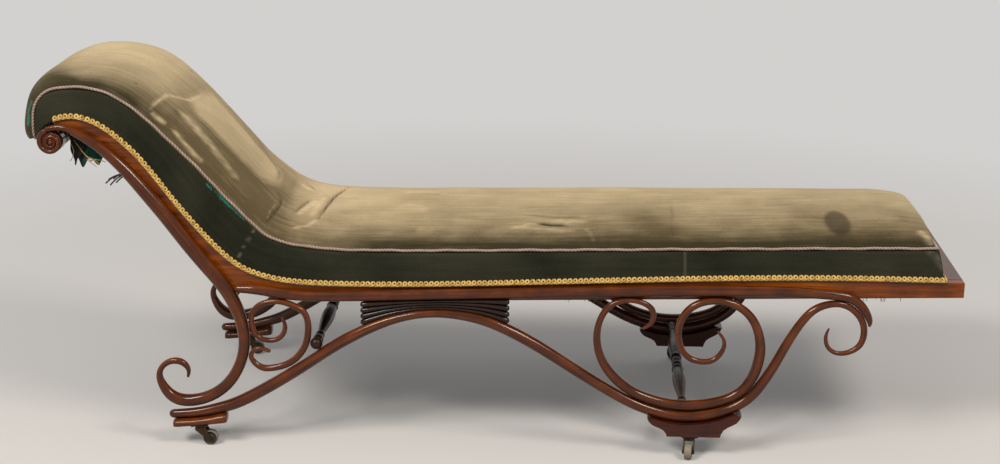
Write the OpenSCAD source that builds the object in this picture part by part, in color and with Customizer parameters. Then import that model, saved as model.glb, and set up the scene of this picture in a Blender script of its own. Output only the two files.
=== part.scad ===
// Fainting couch on a bentwood frame: a long open scroll of steam-bent rods under a
// boarded seat that rises into a rolled head, on four small swivel casters.
// +X runs to the foot end, -Y is the near side, Z is up from the floor.

/* [Frame] */
// Length of the frame; the couch is longer by the roll that stands out past it
frame_len = 1880; // [1700:10:2060]
// How far the roll of the cushion stands out past the frame
roll_out = 18; // [14:2:22]
// Distance between the middles of the near and far rods
rod_spread = 544; // [500:4:600]
// Height of the rails' underside over the floor at mid length
clear_h = 325; // [305:1:345]
// How far the rails climb from the head end to the foot end
rail_climb = 48; // [36:1:58]
// Height from the rails' underside to the piping on top of the roll
back_rise = 450; // [420:5:480]

/* [Rods] */
// Radius of the long rod that makes the back and the head leg
leg_r = 12; // [10.5:0.5:13]
// Radius of the bow that carries both ends
bow_r = 12; // [10.5:0.5:13]
// Radius of the rod along the seat
seat_rod_r = 11; // [10.5:0.5:12]
// Radius of the double scroll at the head end
head_scroll_r = 7; // [6:0.5:8]
// Radius of the double scroll at the foot end
foot_scroll_r = 10; // [8.5:0.5:11]
// Clearance left between pieces that are seated on each other
seat_gap = 0.3; // [0.2:0.1:0.5]

/* [Volute] */
// Radius of the volute at the head, to the middle of its outer turn
volute_r = 26; // [22:1:28]
// Number of turns of the volute
volute_turns = 2; // [1:0.25:2]
// Radius of the round rail between the volutes
head_rail_r = 20; // [16:1:22]
// Radius of the tenons on the round rail
head_tenon_r = 10; // [8:1:12]

/* [Rails] */
// Thickness of the side boards
board_t = 22; // [18:1:26]
// How far the side boards' faces stand behind the middles of the rods
board_setback = 10.5; // [10:0.1:10.5]
// Width of the rail across the foot end
foot_rail_w = 38; // [30:1:44]
// Width of the rails across the seat and the bend
cross_w = 45; // [35:1:60]
// Height of the rails across the seat and the bend
cross_h = 20; // [16:1:22]
// Length of the tenons on the cross rails
tenon_len = 12; // [8:1:15]
// Clearance round the tenons
tenon_gap = 0.1; // [0.05:0.05:0.2]

/* [Stretchers] */
// Radius of the ball on each end of the head stretcher
ball_r = 12.8; // [10:0.2:13]
// Largest radius of the turned stretchers
turned_r = 14; // [11:0.5:16]

/* [Blocks] */
// Depth of the blocks over the casters
block_w = 36; // [34:1:50]
// Depth of the fan under the seat
fan_depth = 22; // [16:1:26]

/* [Upholstery] */
// Radius of the piping
piping_r = 4; // [3:0.5:5]
// Height of the gimp braid
braid_h = 12; // [9:1:15]
// Thickness of the gimp braid
braid_t = 3.6; // [2.5:0.1:5]
// Thickness of the padded bands
band_t = 8; // [6:1:10]
// How far the side bands stand out from the boards' faces
band_out = 3; // [1.5:0.5:4]
// How far the band leans in from the braid to the piping
band_lean = 14; // [8:1:16]
// Height of the stuffing's crown in the middle
crown_h = 26; // [10:1:32]
// How far the stuffing's sides draw in
pad_draw = 4; // [0:0.5:5]
// Width of a webbing strap
strap_w = 52; // [40:1:60]
// Thickness of the webbing, the lining and the dust cloth
cloth_t = 2; // [1.5:0.5:3]

/* [Casters] */
// Radius of a wheel
wheel_r = 16; // [14:0.5:17]
// Width of a wheel
wheel_w = 15; // [12:0.5:16]
// Distance of the axle behind the swivel's axis
trail = 22; // [20:0.5:24]
// Radius of the axle
axle_r = 2.5; // [2:0.25:3]
// Radius of the swivel's spindle
spindle_r = 4; // [3.5:0.25:4.5]
// How far the spindle and the screws reach into the block
block_reach = 11; // [8:0.5:12]
// Thickness of the horn's arms
arm_t = 3; // [2.5:0.5:4]
// Length of a caster plate
plate_l = 38; // [36:1:44]
// Width of a caster plate
plate_w = 32; // [28:1:34]
// Thickness of a caster plate
plate_t = 2.5; // [2:0.5:3]
// Running clearance on the spindle, the axle and the screws
run_gap = 0.05; // [0.03:0.01:0.08]

/* [Hidden] */

rod_y = rod_spread / 2;
board_face = rod_y - board_setback;
board_back = board_face - board_t;
band_face = board_face + band_out;
over = 1;
wood = "#7a3f1c";
dark_wood = "#3a2015";
bronze = "#3b3222";
band_green = "#2c2c20";
gold = "#d8ae58";
pink = "#b89a8a";

// Places in the side view are shares: along X of the length, and in Z of the clear
// height up to 1, then of the back's rise. The rails' underside climbs to the foot.
middle_x = roll_out / 2;
caster_h_share = 0.143;
caster_h = clear_h * caster_h_share;
function rail_z(x) = clear_h + rail_climb * (x - middle_x) / frame_len;
function place_x(share) = share * frame_len + middle_x;
foot_x = place_x(0.5);
function place_z(x, share) =
    share <= 1 ? share * rail_z(x) : rail_z(x) + (share - 1) * back_rise;
function place(p) =
    let (x = place_x(p[0]))
    len(p) > 2 ? [x, place_z(x, p[1]), p[2]] : [x, place_z(x, p[1])];
function place_all(shares) = [for (p = shares) place(p)];

// A bend is a smooth cubic spline that passes close to its points
function pull(p, i) =
    i <= 0 || i >= len(p) - 1
        ? p[min(max(i, 0), len(p) - 1)]
        : p[i] + (2 * p[i] - p[i - 1] - p[i + 1]) / 6;
function past(p, i) =
    i < 0 ? 2 * pull(p, 0) - pull(p, 1)
    : i > len(p) - 1 ? 2 * pull(p, len(p) - 1) - pull(p, len(p) - 2)
    : pull(p, i);
function spline_at(p, i, u) =
    (pow(1 - u, 3) * past(p, i - 1)
    + (3 * pow(u, 3) - 6 * pow(u, 2) + 4) * past(p, i)
    + (3 * pow(u, 2) - 3 * pow(u, 3) + 3 * u + 1) * past(p, i + 1)
    + pow(u, 3) * past(p, i + 2)) / 6;
function bend(p, steps) =
    concat([for (i = [0 : len(p) - 2]) for (k = [0 : steps - 1]) spline_at(p, i, k / steps)],
        [past(p, len(p) - 1)]);

function flat(v) = [v[0], v[1]];
function unit2(v) = v / norm(v);
function heading(path, i) =
    unit2(flat(path[min(i + 1, len(path) - 1)]) - flat(path[max(i - 1, 0)]));
function left_of(t) = [-t[1], t[0]];
function left_at(path, i) = left_of(heading(path, i));
function tilt_at(path, i) = let (t = heading(path, i)) atan2(t[1], t[0]);

// The middle of a rod of radius r, from the edge that it seats by. A row of the edge
// is x, z and the share of the radius there. Side is 1 where the edge lies on the left
// of the way along the rod, and -1 on the right.
function rod_middle(edge, side, r) = [for (i = [0 : len(edge) - 1])
    let (p = flat(edge[i]) - side * left_at(edge, i) * (edge[i][2] * r + seat_gap))
    [p[0], p[1], edge[i][2] * r]];

// A tube along a path in the side view, on the middle of the near rods. Its rows are
// x, z, radius and, for a rod planted on a board, how far its back may reach. Two of
// its flats lie at the radius, in the plane of the path.
module tube(path, sides) {
    n = len(path);
    corner = 1 / cos(180 / sides);
    rings = [for (i = [0 : n - 1])
        let (across = left_at(path, i), r = path[i][2] * corner,
            back = len(path[i]) > 3 ? path[i][3] : r)
        for (j = [0 : sides - 1])
        let (a = 360 * (j + 0.5) / sides)
        [path[i][0] + across[0] * r * cos(a), min(r * sin(a), back) - rod_y,
            path[i][1] + across[1] * r * cos(a)]];
    walls = [for (i = [0 : n - 2]) for (j = [0 : sides - 1])
        let (a = i * sides + j, b = i * sides + (j + 1) % sides)
        each [[a, b, b + sides], [a, b + sides, a + sides]]];
    first = [for (j = [sides - 1 : -1 : 0]) j];
    last = [for (j = [0 : sides - 1]) (n - 1) * sides + j];
    polyhedron(points = rings, faces = concat([first], walls, [last]), convexity = 8);
}

// Both sides of the couch are alike, mirrored on its long middle
module far_side() { mirror([0, 1, 0]) children(); }

// An outline in the side view, made solid from one depth to another
module board_of(outline, from, to) {
    translate([0, to, 0]) rotate([90, 0, 0]) linear_extrude(to - from) polygon(outline);
}

// A bar across the couch: at holds its middle's x and z and its tilt
module bar(at, w, h, half) {
    translate([at[0], 0, at[1]]) rotate([0, -at[2], 0])
        cube([w, 2 * half, h], center = true);
}

// Shares along the stretches where two rods lie on each other
sweep_shares = [[0.144, 0.392], [0.164, 0.342], [0.186, 0.305], [0.207, 0.293],
    [0.229, 0.304], [0.254, 0.344], [0.273, 0.411]];
curl_shares = [[0.362, 1.001], [0.377, 0.985], [0.389, 0.937], [0.397, 0.872]];
function with_radius(shares, radii) = [for (i = [0 : len(shares) - 1])
    [shares[i][0], shares[i][1], radii[i]]];

// The long rod: its upper edge down the back, its foot-side edge down the leg and its
// lower edge round the scroll that it stands on
back_leg_shares = [[-0.480, 1.833, 0.46], [-0.468, 1.843, 0.53], [-0.455, 1.835, 0.62],
    [-0.436, 1.795, 0.78], [-0.415, 1.738, 0.94], [-0.393, 1.653, 1.08],
    [-0.371, 1.546, 1.20], [-0.349, 1.431, 1.25], [-0.329, 1.313, 1.25],
    [-0.309, 1.204, 1.25], [-0.290, 1.104, 1.25], [-0.278, 1.005, 1.20],
    [-0.272, 0.878, 1.06], [-0.270, 0.756, 1.00], [-0.273, 0.622, 0.96],
    [-0.283, 0.482, 0.98], [-0.299, 0.370, 1.00], [-0.321, 0.294, 1.04],
    [-0.346, 0.272, 1.08], [-0.364, 0.315, 1.02], [-0.374, 0.414, 0.78],
    [-0.376, 0.508, 0.54], [-0.369, 0.583, 0.50], [-0.357, 0.620, 0.58],
    [-0.344, 0.606, 0.58], [-0.337, 0.541, 0.42], [-0.339, 0.483, 0.24]];

// The bow: its upper edge from the head leg, over the arch, under the foot scroll, up
// to the rail and round its own curl
bow_shares = concat([[-0.359, 0.247, 0.78], [-0.330, 0.265, 0.85], [-0.307, 0.306, 0.98],
    [-0.286, 0.350, 1.05], [-0.247, 0.482, 1.05], [-0.209, 0.625, 1.00],
    [-0.181, 0.740, 1.02], [-0.140, 0.867, 0.95], [-0.100, 0.938, 0.78],
    [-0.063, 0.957, 0.75], [-0.028, 0.933, 0.84], [0.003, 0.883, 0.97],
    [0.043, 0.761, 1.00], [0.080, 0.620, 0.98], [0.114, 0.492, 0.96]],
    with_radius(sweep_shares, [0.96, 0.97, 1.00, 1.03, 1.03, 0.97, 0.93]),
    [[0.286, 0.508, 0.90], [0.297, 0.610, 0.86], [0.307, 0.721, 0.82], [0.318, 0.826, 0.76],
    [0.331, 0.927, 0.72], [0.345, 0.981, 0.66]],
    with_radius(curl_shares, [0.60, 0.58, 0.58, 0.58]),
    [[0.3995, 0.796, 0.57], [0.396, 0.718, 0.54], [0.387, 0.675, 0.48],
    [0.377, 0.656, 0.43], [0.365, 0.660, 0.39], [0.355, 0.707, 0.37],
    [0.353, 0.778, 0.31], [0.357, 0.827, 0.15]]);

// The rod along the seat: its lower edge, then down over the bow's curl
seat_rod_shares = concat([[-0.282, 1.052, 0.75], [-0.266, 1.045, 0.95],
    [-0.246, 1.032, 1.00], [-0.214, 1.012, 1.00], [-0.160, 1.008, 1.00],
    [-0.061, 1.013, 1.00], [0.111, 1.021, 1.00], [0.219, 1.022, 1.00],
    [0.283, 1.020, 1.00], [0.336, 1.010, 0.98]],
    with_radius(curl_shares, [0.92, 0.90, 0.82, 0.62]), [[0.3992, 0.842, 0.3]]);

// The double scrolls: their outer edges, from one end to the other
head_scroll_shares = [[-0.249, 0.684, 0.60], [-0.260, 0.704, 0.62], [-0.270, 0.673, 0.66],
    [-0.272, 0.609, 0.75], [-0.262, 0.541, 0.95], [-0.249, 0.527, 1.00],
    [-0.228, 0.557, 1.02], [-0.213, 0.632, 1.02], [-0.204, 0.730, 1.03],
    [-0.202, 0.856, 0.98], [-0.207, 0.952, 0.95], [-0.222, 1.006, 0.95],
    [-0.239, 1.024, 0.85], [-0.258, 1.009, 0.82], [-0.269, 0.949, 0.80],
    [-0.2705, 0.859, 0.80], [-0.265, 0.762, 0.78], [-0.249, 0.725, 0.78],
    [-0.234, 0.752, 0.76], [-0.228, 0.834, 0.72], [-0.232, 0.899, 0.40]];
foot_scroll_shares = concat([[0.160, 0.818, 0.30], [0.169, 0.847, 0.48],
    [0.173, 0.915, 0.58], [0.166, 0.988, 0.60], [0.144, 1.020, 0.55],
    [0.121, 0.994, 0.66], [0.108, 0.878, 0.68], [0.105, 0.739, 0.78],
    [0.111, 0.602, 0.90], [0.124, 0.489, 0.98]],
    with_radius(sweep_shares, [1.00, 1.00, 1.05, 1.10, 1.07, 1.00, 1.03]),
    [[0.285, 0.514, 1.08], [0.2915, 0.652, 1.10], [0.289, 0.788, 0.98], [0.278, 0.913, 0.86],
    [0.259, 0.996, 0.82], [0.237, 1.019, 0.78], [0.214, 1.002, 0.80],
    [0.197, 0.909, 0.74], [0.193, 0.772, 0.70], [0.201, 0.654, 0.64],
    [0.215, 0.602, 0.62], [0.235, 0.598, 0.60], [0.247, 0.671, 0.50],
    [0.249, 0.748, 0.40], [0.241, 0.808, 0.25]]);

// The tack line, where the cloth meets the wood, and the piping line, where the side
// bands meet the top cover, row against row from the head to the foot
tack_shares = [[-0.490, 1.743], [-0.491, 1.779], [-0.487, 1.812], [-0.473, 1.848],
    [-0.453, 1.862], [-0.432, 1.837], [-0.410, 1.775], [-0.381, 1.654], [-0.351, 1.480],
    [-0.319, 1.316], [-0.288, 1.184], [-0.261, 1.126], [-0.224, 1.088], [-0.160, 1.073],
    [-0.061, 1.069], [0.111, 1.081], [0.324, 1.090], [0.479, 1.073]];
piping_shares = [[-0.496, 1.764], [-0.498, 1.804], [-0.495, 1.922], [-0.481, 1.982],
    [-0.458, 1.997], [-0.427, 1.984], [-0.397, 1.923], [-0.359, 1.779], [-0.324, 1.628],
    [-0.289, 1.466], [-0.266, 1.364], [-0.248, 1.301], [-0.217, 1.258], [-0.160, 1.234],
    [-0.060, 1.228], [0.113, 1.226], [0.319, 1.225], [0.472, 1.222]];
// The crown of the stuffing over each of those rows
crown_shares = [0.50, 0.85, 0.85, 0.80, 0.85, 0.90, 1, 1, 1, 1, 1, 1, 1, 1, 1, 1, 1, 0.35];
// The lower edge of the side boards, from the volute to where the seat starts
board_foot_shares = [[-0.466, 1.823], [-0.449, 1.800], [-0.412, 1.696], [-0.371, 1.480],
    [-0.331, 1.250], [-0.300, 1.100], [-0.277, 1.055], [-0.255, 1.028], [-0.234, 1.010],
    [-0.207, 1.000]];
volute_place_share = [-0.4766, 1.759];

rod_steps = 2;
cloth_steps = 3;
rod_sides = 8;
leg_middle = rod_middle(bend(place_all(back_leg_shares), rod_steps), 1, leg_r);
bow_edge = bend(place_all(bow_shares), rod_steps);
bow_middle = rod_middle(bow_edge, 1, bow_r);
seat_rod_edge = bend(place_all(seat_rod_shares), rod_steps);
seat_rod_middle = rod_middle(seat_rod_edge, -1, seat_rod_r);
tack_line = bend(place_all(tack_shares), cloth_steps);
piping_line = bend(place_all(piping_shares), cloth_steps);
board_foot_line = bend(place_all(board_foot_shares), cloth_steps);
rows = len(tack_line);
volute = place(volute_place_share);

// A rod's back is flat where it is planted on the board, above the rails' underside
function planted(path) = [for (p = path)
    [p[0], p[1], p[2], p[1] > rail_z(p[0]) - p[2] ? board_setback - seat_gap : rod_y]];

module back_leg() { color(wood) tube(planted(leg_middle), rod_sides); }
module seat_rod() { color(wood) tube(planted(seat_rod_middle), rod_sides); }
module bow() { color(wood) tube(bow_middle, rod_sides); }
module head_scroll() {
    edge = bend(place_all(head_scroll_shares), rod_steps);
    color(wood) tube(rod_middle(edge, -1, head_scroll_r), rod_sides);
}
module foot_scroll() {
    edge = bend(place_all(foot_scroll_shares), rod_steps);
    color(wood) tube(rod_middle(edge, -1, foot_scroll_r), rod_sides);
}

// The volute: the long rod's head wound in on itself, on a boss that takes the round
// rail. It thins towards the middle.
volute_steps = 14;
volute_start = 114;
volute_bead_r = leg_r * back_leg_shares[0][2];
boss_r = volute_r - 0.75 * volute_bead_r;
// What is left of the reach and of the thickness after each turn
wind_share = 0.46;
thin_share = 0.68;
volute_path = [for (i = [0 : volute_turns * volute_steps])
    let (a = volute_start + 360 * i / volute_steps,
        reach = volute_r * pow(wind_share, i / volute_steps))
    [volute[0] + reach * cos(a), volute[1] + reach * sin(a),
        volute_bead_r * pow(thin_share, i / volute_steps)]];
module boss(r, from, to) {
    translate([volute[0], to, volute[1]]) rotate([90, 0, 0]) cylinder(r = r, h = to - from, $fn = 48);
}
module volute_scroll() {
    color(wood) difference() {
        union() {
            tube(volute_path, rod_sides);
            boss(boss_r, -rod_y, -board_back);
        }
        boss(head_tenon_r + tenon_gap, -board_back - tenon_len - tenon_gap, -board_back + over);
    }
}

// Cross rails, tenoned into the side boards
seat_rail_share = [-0.09, 0.19];
tenon_share = 0.6;
bend_rail_row = 30;
seat_rail_lift = cloth_t + seat_gap + cross_h / 2;
seat_rail_places = [for (s = seat_rail_share)
    [place_x(s), rail_z(place_x(s)) + seat_rail_lift, atan(rail_climb / frame_len)]];
bend_rail_at = tack_line[bend_rail_row]
    - left_at(tack_line, bend_rail_row) * (3 * cloth_t + cross_h / 2);
bend_rail_place = [bend_rail_at[0], bend_rail_at[1], tilt_at(tack_line, bend_rail_row)];
foot_rail_top = tack_line[rows - 1][1];
foot_rail_h = foot_rail_top - rail_z(foot_x);
foot_rail_place = [foot_x - foot_rail_w / 2, foot_rail_top - foot_rail_h / 2, 0];
module tenoned_rail(at, w, h) {
    color(wood) union() {
        bar(at, w, h, board_back - seat_gap);
        bar(at, w * tenon_share, h * tenon_share, board_back + tenon_len);
    }
}
module mortise(at, w, h) {
    bar(at, w * tenon_share + 2 * tenon_gap, h * tenon_share + 2 * tenon_gap,
        board_back + tenon_len + tenon_gap);
}
module foot_rail() { tenoned_rail(foot_rail_place, foot_rail_w, foot_rail_h); }
module bend_rail() { tenoned_rail(bend_rail_place, cross_w, cross_h); }
module seat_cross_rails() {
    for (at = seat_rail_places) tenoned_rail(at, cross_w, cross_h);
}
module head_rail() {
    color(wood) union() {
        boss(head_rail_r, -board_back + seat_gap, board_back - seat_gap);
        boss(head_tenon_r, -board_back - tenon_len, board_back + tenon_len);
    }
}

// The side board: up to the tack line, round the boss at its head, and down to the
// rails' underside
board_start_row = 9;
module side_rail() {
    top = [for (i = [board_start_row : rows - 1]) tack_line[i]];
    end = [[foot_x, foot_rail_top], [foot_x, rail_z(foot_x)]];
    bottom = [for (i = [len(board_foot_line) - 1 : -1 : 0]) board_foot_line[i]];
    color(wood) difference() {
        board_of(concat(top, end, bottom, [volute]), -board_face, -board_back);
        boss(boss_r + seat_gap, -board_face - over, -board_back + over);
        for (at = seat_rail_places) mortise(at, cross_w, cross_h);
        mortise(bend_rail_place, cross_w, cross_h);
        mortise(foot_rail_place, foot_rail_w, foot_rail_h);
    }
}

// The fan: a wedge over the bow's arch, with three reeds that spread to both ends
fan_ends_share = [-0.145, 0.011];
fan_rows = 14;
reeds = 3;
reed_sides = 6;
reed_fill = 0.48;
function height_of(edge, x) = lookup(x, [for (p = edge) if (p[0] < frame_len / 4) flat(p)]);
function fan_low(x) = height_of(bow_edge, x) + seat_gap / 2;
function fan_high(x) = height_of(seat_rod_edge, x) - seat_gap;
fan_xs = [for (k = [0 : fan_rows])
    place_x(fan_ends_share[0] + (fan_ends_share[1] - fan_ends_share[0]) * k / fan_rows)];
function reed_h(x) = (fan_high(x) - fan_low(x)) / reeds;
function reed_z(x, j) = fan_low(x) + reed_h(x) * (j + 0.5);
function reed_tilt(x, j) = atan2(reed_z(x + over, j) - reed_z(x - over, j), 2 * over);
function reed_path(j) = [for (x = fan_xs)
    [x, reed_z(x, j), reed_h(x) * reed_fill * cos(reed_tilt(x, j)), board_setback - seat_gap]];
module fan() {
    low = [for (x = fan_xs) [x, fan_low(x)]];
    high = [for (k = [fan_rows : -1 : 0]) [fan_xs[k], rail_z(fan_xs[k]) - seat_gap]];
    color(dark_wood) union() {
        board_of(concat(low, high), -rod_y, -rod_y + fan_depth);
        for (j = [0 : reeds - 1]) tube(reed_path(j), reed_sides);
    }
}

// The blocks over the casters: their tops follow the bow's underside
head_pad_share = [-0.358, -0.299];
foot_block_share = [0.166, 0.268];
head_caster_share = -0.330;
foot_caster_share = 0.213;
pad_fall = 12;
function bow_under(from, to) = [for (i = [0 : len(bow_middle) - 1])
    let (p = flat(bow_middle[i]) - left_at(bow_middle, i) * (bow_middle[i][2] + seat_gap))
    if (p[0] > place_x(from) && p[0] < place_x(to) && p[1] < clear_h / 2) p];
module block_of(outline, x) {
    color(wood) difference() {
        board_of(outline, -rod_y - block_w / 2, -rod_y + block_w / 2);
        translate([x - plate_l / 2 - seat_gap, -rod_y - block_w, -over])
            cube([plate_l + 2 * seat_gap, 2 * block_w, caster_h + over]);
        translate([x, -rod_y, -over])
            cylinder(r = spindle_r + seat_gap, h = caster_h + block_reach + over + seat_gap, $fn = 32);
        translate([x, -rod_y, 0]) screw_places() pilot_hole();
    }
}
module head_pad() {
    from = place_x(head_pad_share[0]);
    to = place_x(head_pad_share[1]);
    x = place_x(head_caster_share);
    bevel = (to - from) / 14;
    slope = pad_fall / (to - from);
    function under(at) = caster_h + slope * (at - x - plate_l / 2);
    top = bow_under(head_pad_share[0], head_pad_share[1]);
    block_of(concat([[from, under(from) + bevel],
        [from + bevel, under(from)], [to - bevel, under(to)], [to, under(to) + bevel],
        [to, top[len(top) - 1][1]]], [for (i = [len(top) - 1 : -1 : 0]) top[i]]), x);
}

// One side of the foot block's ogee, from its flat out to its lip, in shares of its
// overhang and of its height
ogee_shares = [[0, 0], [0.04, 0.15], [0.15, 0.33], [0.34, 0.46], [0.60, 0.58],
    [0.78, 0.68], [0.92, 0.84], [1, 1]];
foot_flat_share = [0.21, 0.78];
module foot_block() {
    from = place_x(foot_block_share[0]);
    to = place_x(foot_block_share[1]);
    top = bow_under(foot_block_share[0], foot_block_share[1]);
    flat_from = from + (to - from) * foot_flat_share[0];
    flat_to = from + (to - from) * foot_flat_share[1];
    left_rise = top[0][1] - caster_h;
    right_rise = top[len(top) - 1][1] - caster_h;
    left_side = [for (s = ogee_shares)
        [flat_from + (from - flat_from) * s[0], caster_h + left_rise * s[1]]];
    right_side = [for (i = [len(ogee_shares) - 1 : -1 : 0])
        let (s = ogee_shares[i])
        [flat_to + (to - flat_to) * s[0], caster_h + right_rise * s[1]]];
    block_of(concat(left_side, top, right_side), place_x(foot_caster_share));
}

// The turned stretchers: half of the outline, as shares of the half length and of the
// largest radius, from the middle out
turned_shares = [[0, 0.62], [0.02, 0.72], [0.04, 0.80], [0.06, 0.72], [0.07, 0.60],
    [0.10, 0.60], [0.12, 0.84], [0.14, 0.92], [0.16, 0.84], [0.18, 0.74], [0.24, 0.86],
    [0.32, 0.98], [0.40, 1.00], [0.50, 0.92], [0.62, 0.74], [0.72, 0.58], [0.80, 0.50],
    [0.82, 0.66], [0.84, 0.70], [0.86, 0.62], [0.88, 0.56], [0.91, 0.74], [0.95, 0.82],
    [0.98, 0.74], [1.00, 0.55]];
turned_last = len(turned_shares) - 1;
module turned(half) {
    outline = [for (p = turned_shares) [p[1] * turned_r, p[0] * half]];
    inner = [for (i = [turned_last : -1 : 0]) [outline[i][0], -outline[i][1]]];
    outer = [for (i = [1 : turned_last]) outline[i]];
    rotate([90, 0, 0]) rotate_extrude($fn = 32)
        polygon(concat([[0, half], [0, -half]], inner, outer));
}
ball_place_share = [-0.197, 0.725];
module head_stretcher() {
    at = place(ball_place_share);
    color(dark_wood) translate([at[0], 0, at[1]]) union() {
        turned(rod_y - ball_r / 2);
        for (side = [-1, 1]) translate([0, side * rod_y, 0]) sphere(r = ball_r, $fn = 32);
    }
}
// The foot stretcher's ends seat in the groove between the bow and the foot scroll
foot_stretcher_share = 0.205;
module foot_stretcher() {
    x = place_x(foot_stretcher_share);
    rod = bow_r * max([for (p = bow_shares) p[2]]) / cos(180 / rod_sides) + seat_gap;
    drop = rod - turned_r * turned_shares[turned_last][1];
    color(dark_wood)
        translate([x, 0, lookup(foot_stretcher_share, sweep_shares) * rail_z(x)])
        turned(rod_y - sqrt(pow(rod, 2) - pow(drop, 2)));
}

// Upholstery: rows of the tack line and of the piping line face each other
function toward(i) = unit2(piping_line[i] - tack_line[i]);
function above_tack(i, lift) = tack_line[i] + toward(i) * lift;
// The band leans in towards the piping
function band_rise(i) = norm(piping_line[i] - tack_line[i]);
// The share of the way to the piping that runs square to it
function facing(i) = max(0.4, toward(i) * left_at(piping_line, i));
function band_top(i) = band_rise(i) - piping_r / facing(i);
function lean_at(i, lift) = band_lean * min(1, lift / band_top(i));
function at_y(p, y) = [p[0], y, p[1]];
// A shell round loops of points that all have the same count, closed at both ends
module loft(loops) {
    n = len(loops[0]);
    last = len(loops) - 1;
    walls = [for (i = [0 : last - 1]) for (j = [0 : n - 1])
        let (a = i * n + j, b = i * n + (j + 1) % n)
        each [[a, b, b + n], [a, b + n, a + n]]];
    polyhedron(points = [for (loop = loops) each loop], faces = concat(
        [[for (j = [n - 1 : -1 : 0]) j]], walls, [[for (j = [0 : n - 1]) last * n + j]]),
        convexity = 6);
}
module side_band() {
    color(band_green) loft([for (i = [0 : rows - 1])
        let (low = above_tack(i, seat_gap), high = above_tack(i, band_top(i)),
            face = -band_face + band_lean)
        [at_y(low, -band_face), at_y(high, face), at_y(high, face + band_t),
            at_y(low, -band_face + band_t)]]);
}
// A tube keeps to the middle of the near rods, so the piping is moved to its own
piping_sides = 6;
piping_y = band_face - band_t / 2 - band_lean;
module piping() {
    path = [for (i = [0 : rows - 1])
        let (p = piping_line[i] + left_at(piping_line, i) * seat_gap)
        [p[0], p[1], piping_r * cos(180 / piping_sides)]];
    color(pink) translate([0, rod_y - piping_y, 0]) tube(path, piping_sides);
}
braid_start_row = 9;
module braid() {
    face = band_face + seat_gap;
    color(gold) loft([for (i = [braid_start_row : rows - 1])
        let (low = above_tack(i, seat_gap), high = above_tack(i, braid_h),
            lean = lean_at(i, braid_h))
        [at_y(low, -face - braid_t), at_y(high, -face - braid_t + lean),
            at_y(high, -face + lean), at_y(low, -face)]]);
}

// The stuffed pad: at each row, a loop up one side, over the crown and down the other
pad_half = band_face - band_t - 2 * seat_gap;
pad_back = band_t + seat_gap;
side_steps = 2;
crown_steps = 10;
crown_power = 4;
pad_loop = 2 * side_steps + crown_steps;
function pad_end(i) = i == rows - 1 ? [pad_back, 0] : [0, 0];
function crown_at(i) = lookup(i / cloth_steps, [for (k = [0 : len(crown_shares) - 1])
    [k, crown_shares[k]]]);
// A side's two corners: low on the board, and drawn in under the piping
function pad_side(i, k, side) =
    let (p = above_tack(i, k == 0 ? seat_gap : band_top(i)) - pad_end(i))
    [p[0], side * (pad_half - (k == 0 ? 0 : band_lean + pad_draw)), p[1]];
function pad_crown(i, s) =
    let (lift = crown_h * crown_at(i) * (1 - pow(abs(s), crown_power)),
        up = i == rows - 1 ? toward(i) : left_at(piping_line, i),
        p = piping_line[i] + up * lift - pad_end(i))
    [p[0], (pad_half - band_lean) * s, p[1]];
function pad_point(i, j) =
    j < side_steps ? pad_side(i, j, -1)
    : j > side_steps + crown_steps ? pad_side(i, pad_loop - j, 1)
    : pad_crown(i, 2 * (j - side_steps) / crown_steps - 1);
module seat_pad() {
    color("#a59772") loft([for (i = [0 : rows - 1]) [for (j = [0 : pad_loop]) pad_point(i, j)]]);
}

// The foot end's cloth: its band stands behind the foot rail's ledge
foot_low = above_tack(rows - 1, seat_gap);
foot_high = piping_line[rows - 1];
module foot_band() {
    drop = -toward(rows - 1) * (piping_r + seat_gap);
    thick = [-band_t, 0];
    high = foot_high + drop;
    color(band_green) loft([for (side = [1, -1])
        [at_y(foot_low, side * pad_half), at_y(foot_low + thick, side * pad_half),
            at_y(high + thick, side * (pad_half - band_lean)),
            at_y(high, side * (pad_half - band_lean))]]);
}
module foot_piping() {
    half = piping_y - piping_r - seat_gap;
    color(pink) translate([foot_high[0] - piping_r, half, foot_high[1]])
        rotate([90, 0, 0]) cylinder(r = piping_r, h = 2 * half, $fn = 24);
}
module foot_braid() {
    low = foot_low + [seat_gap, 0];
    high = low + toward(rows - 1) * braid_h;
    thick = [braid_t, 0];
    color(gold) board_of([low, low + thick, high + thick, high], -band_face, band_face);
}

// Webbing straps between the boards, just under the pad, and the linings below
cloth_half = board_back - seat_gap;
function run_to(i) = i == 0 ? 0 : run_to(i - 1) + norm(tack_line[i] - tack_line[i - 1]);
tack_runs = [for (i = [0 : rows - 1]) run_to(i)];
function tack_at(run) = [for (k = [0 : 1])
    lookup(run, [for (i = [0 : rows - 1]) [tack_runs[i], tack_line[i][k]]])];
function below_tack(run, drop) =
    tack_at(run) - left_of(unit2(tack_at(run + over) - tack_at(run - over))) * drop;
webbing_ends_share = [0.08, 0.94];
strap_pitch_share = 1.7;
module strap(run) {
    spots = [for (k = [-1 : 0.5 : 1]) run + k * strap_w / 2];
    board_of(concat([for (s = spots) below_tack(s, seat_gap)],
        [for (k = [len(spots) - 1 : -1 : 0]) below_tack(spots[k], seat_gap + cloth_t)]),
        -cloth_half, cloth_half);
}
module webbing() {
    color("#8a7a55") for (run = [tack_runs[rows - 1] * webbing_ends_share[0]
            : strap_w * strap_pitch_share : tack_runs[rows - 1] * webbing_ends_share[1]])
        strap(run);
}
module dust_cloth() {
    from = board_foot_line[len(board_foot_line) - 1][0] + seat_gap;
    to = foot_x - foot_rail_w - seat_gap;
    thick = [0, cloth_t];
    low = [[from, rail_z(from)], [to, rail_z(to)]];
    color("#4a4136") board_of([low[0], low[1], low[1] + thick, low[0] + thick],
        -cloth_half, cloth_half);
}
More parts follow.
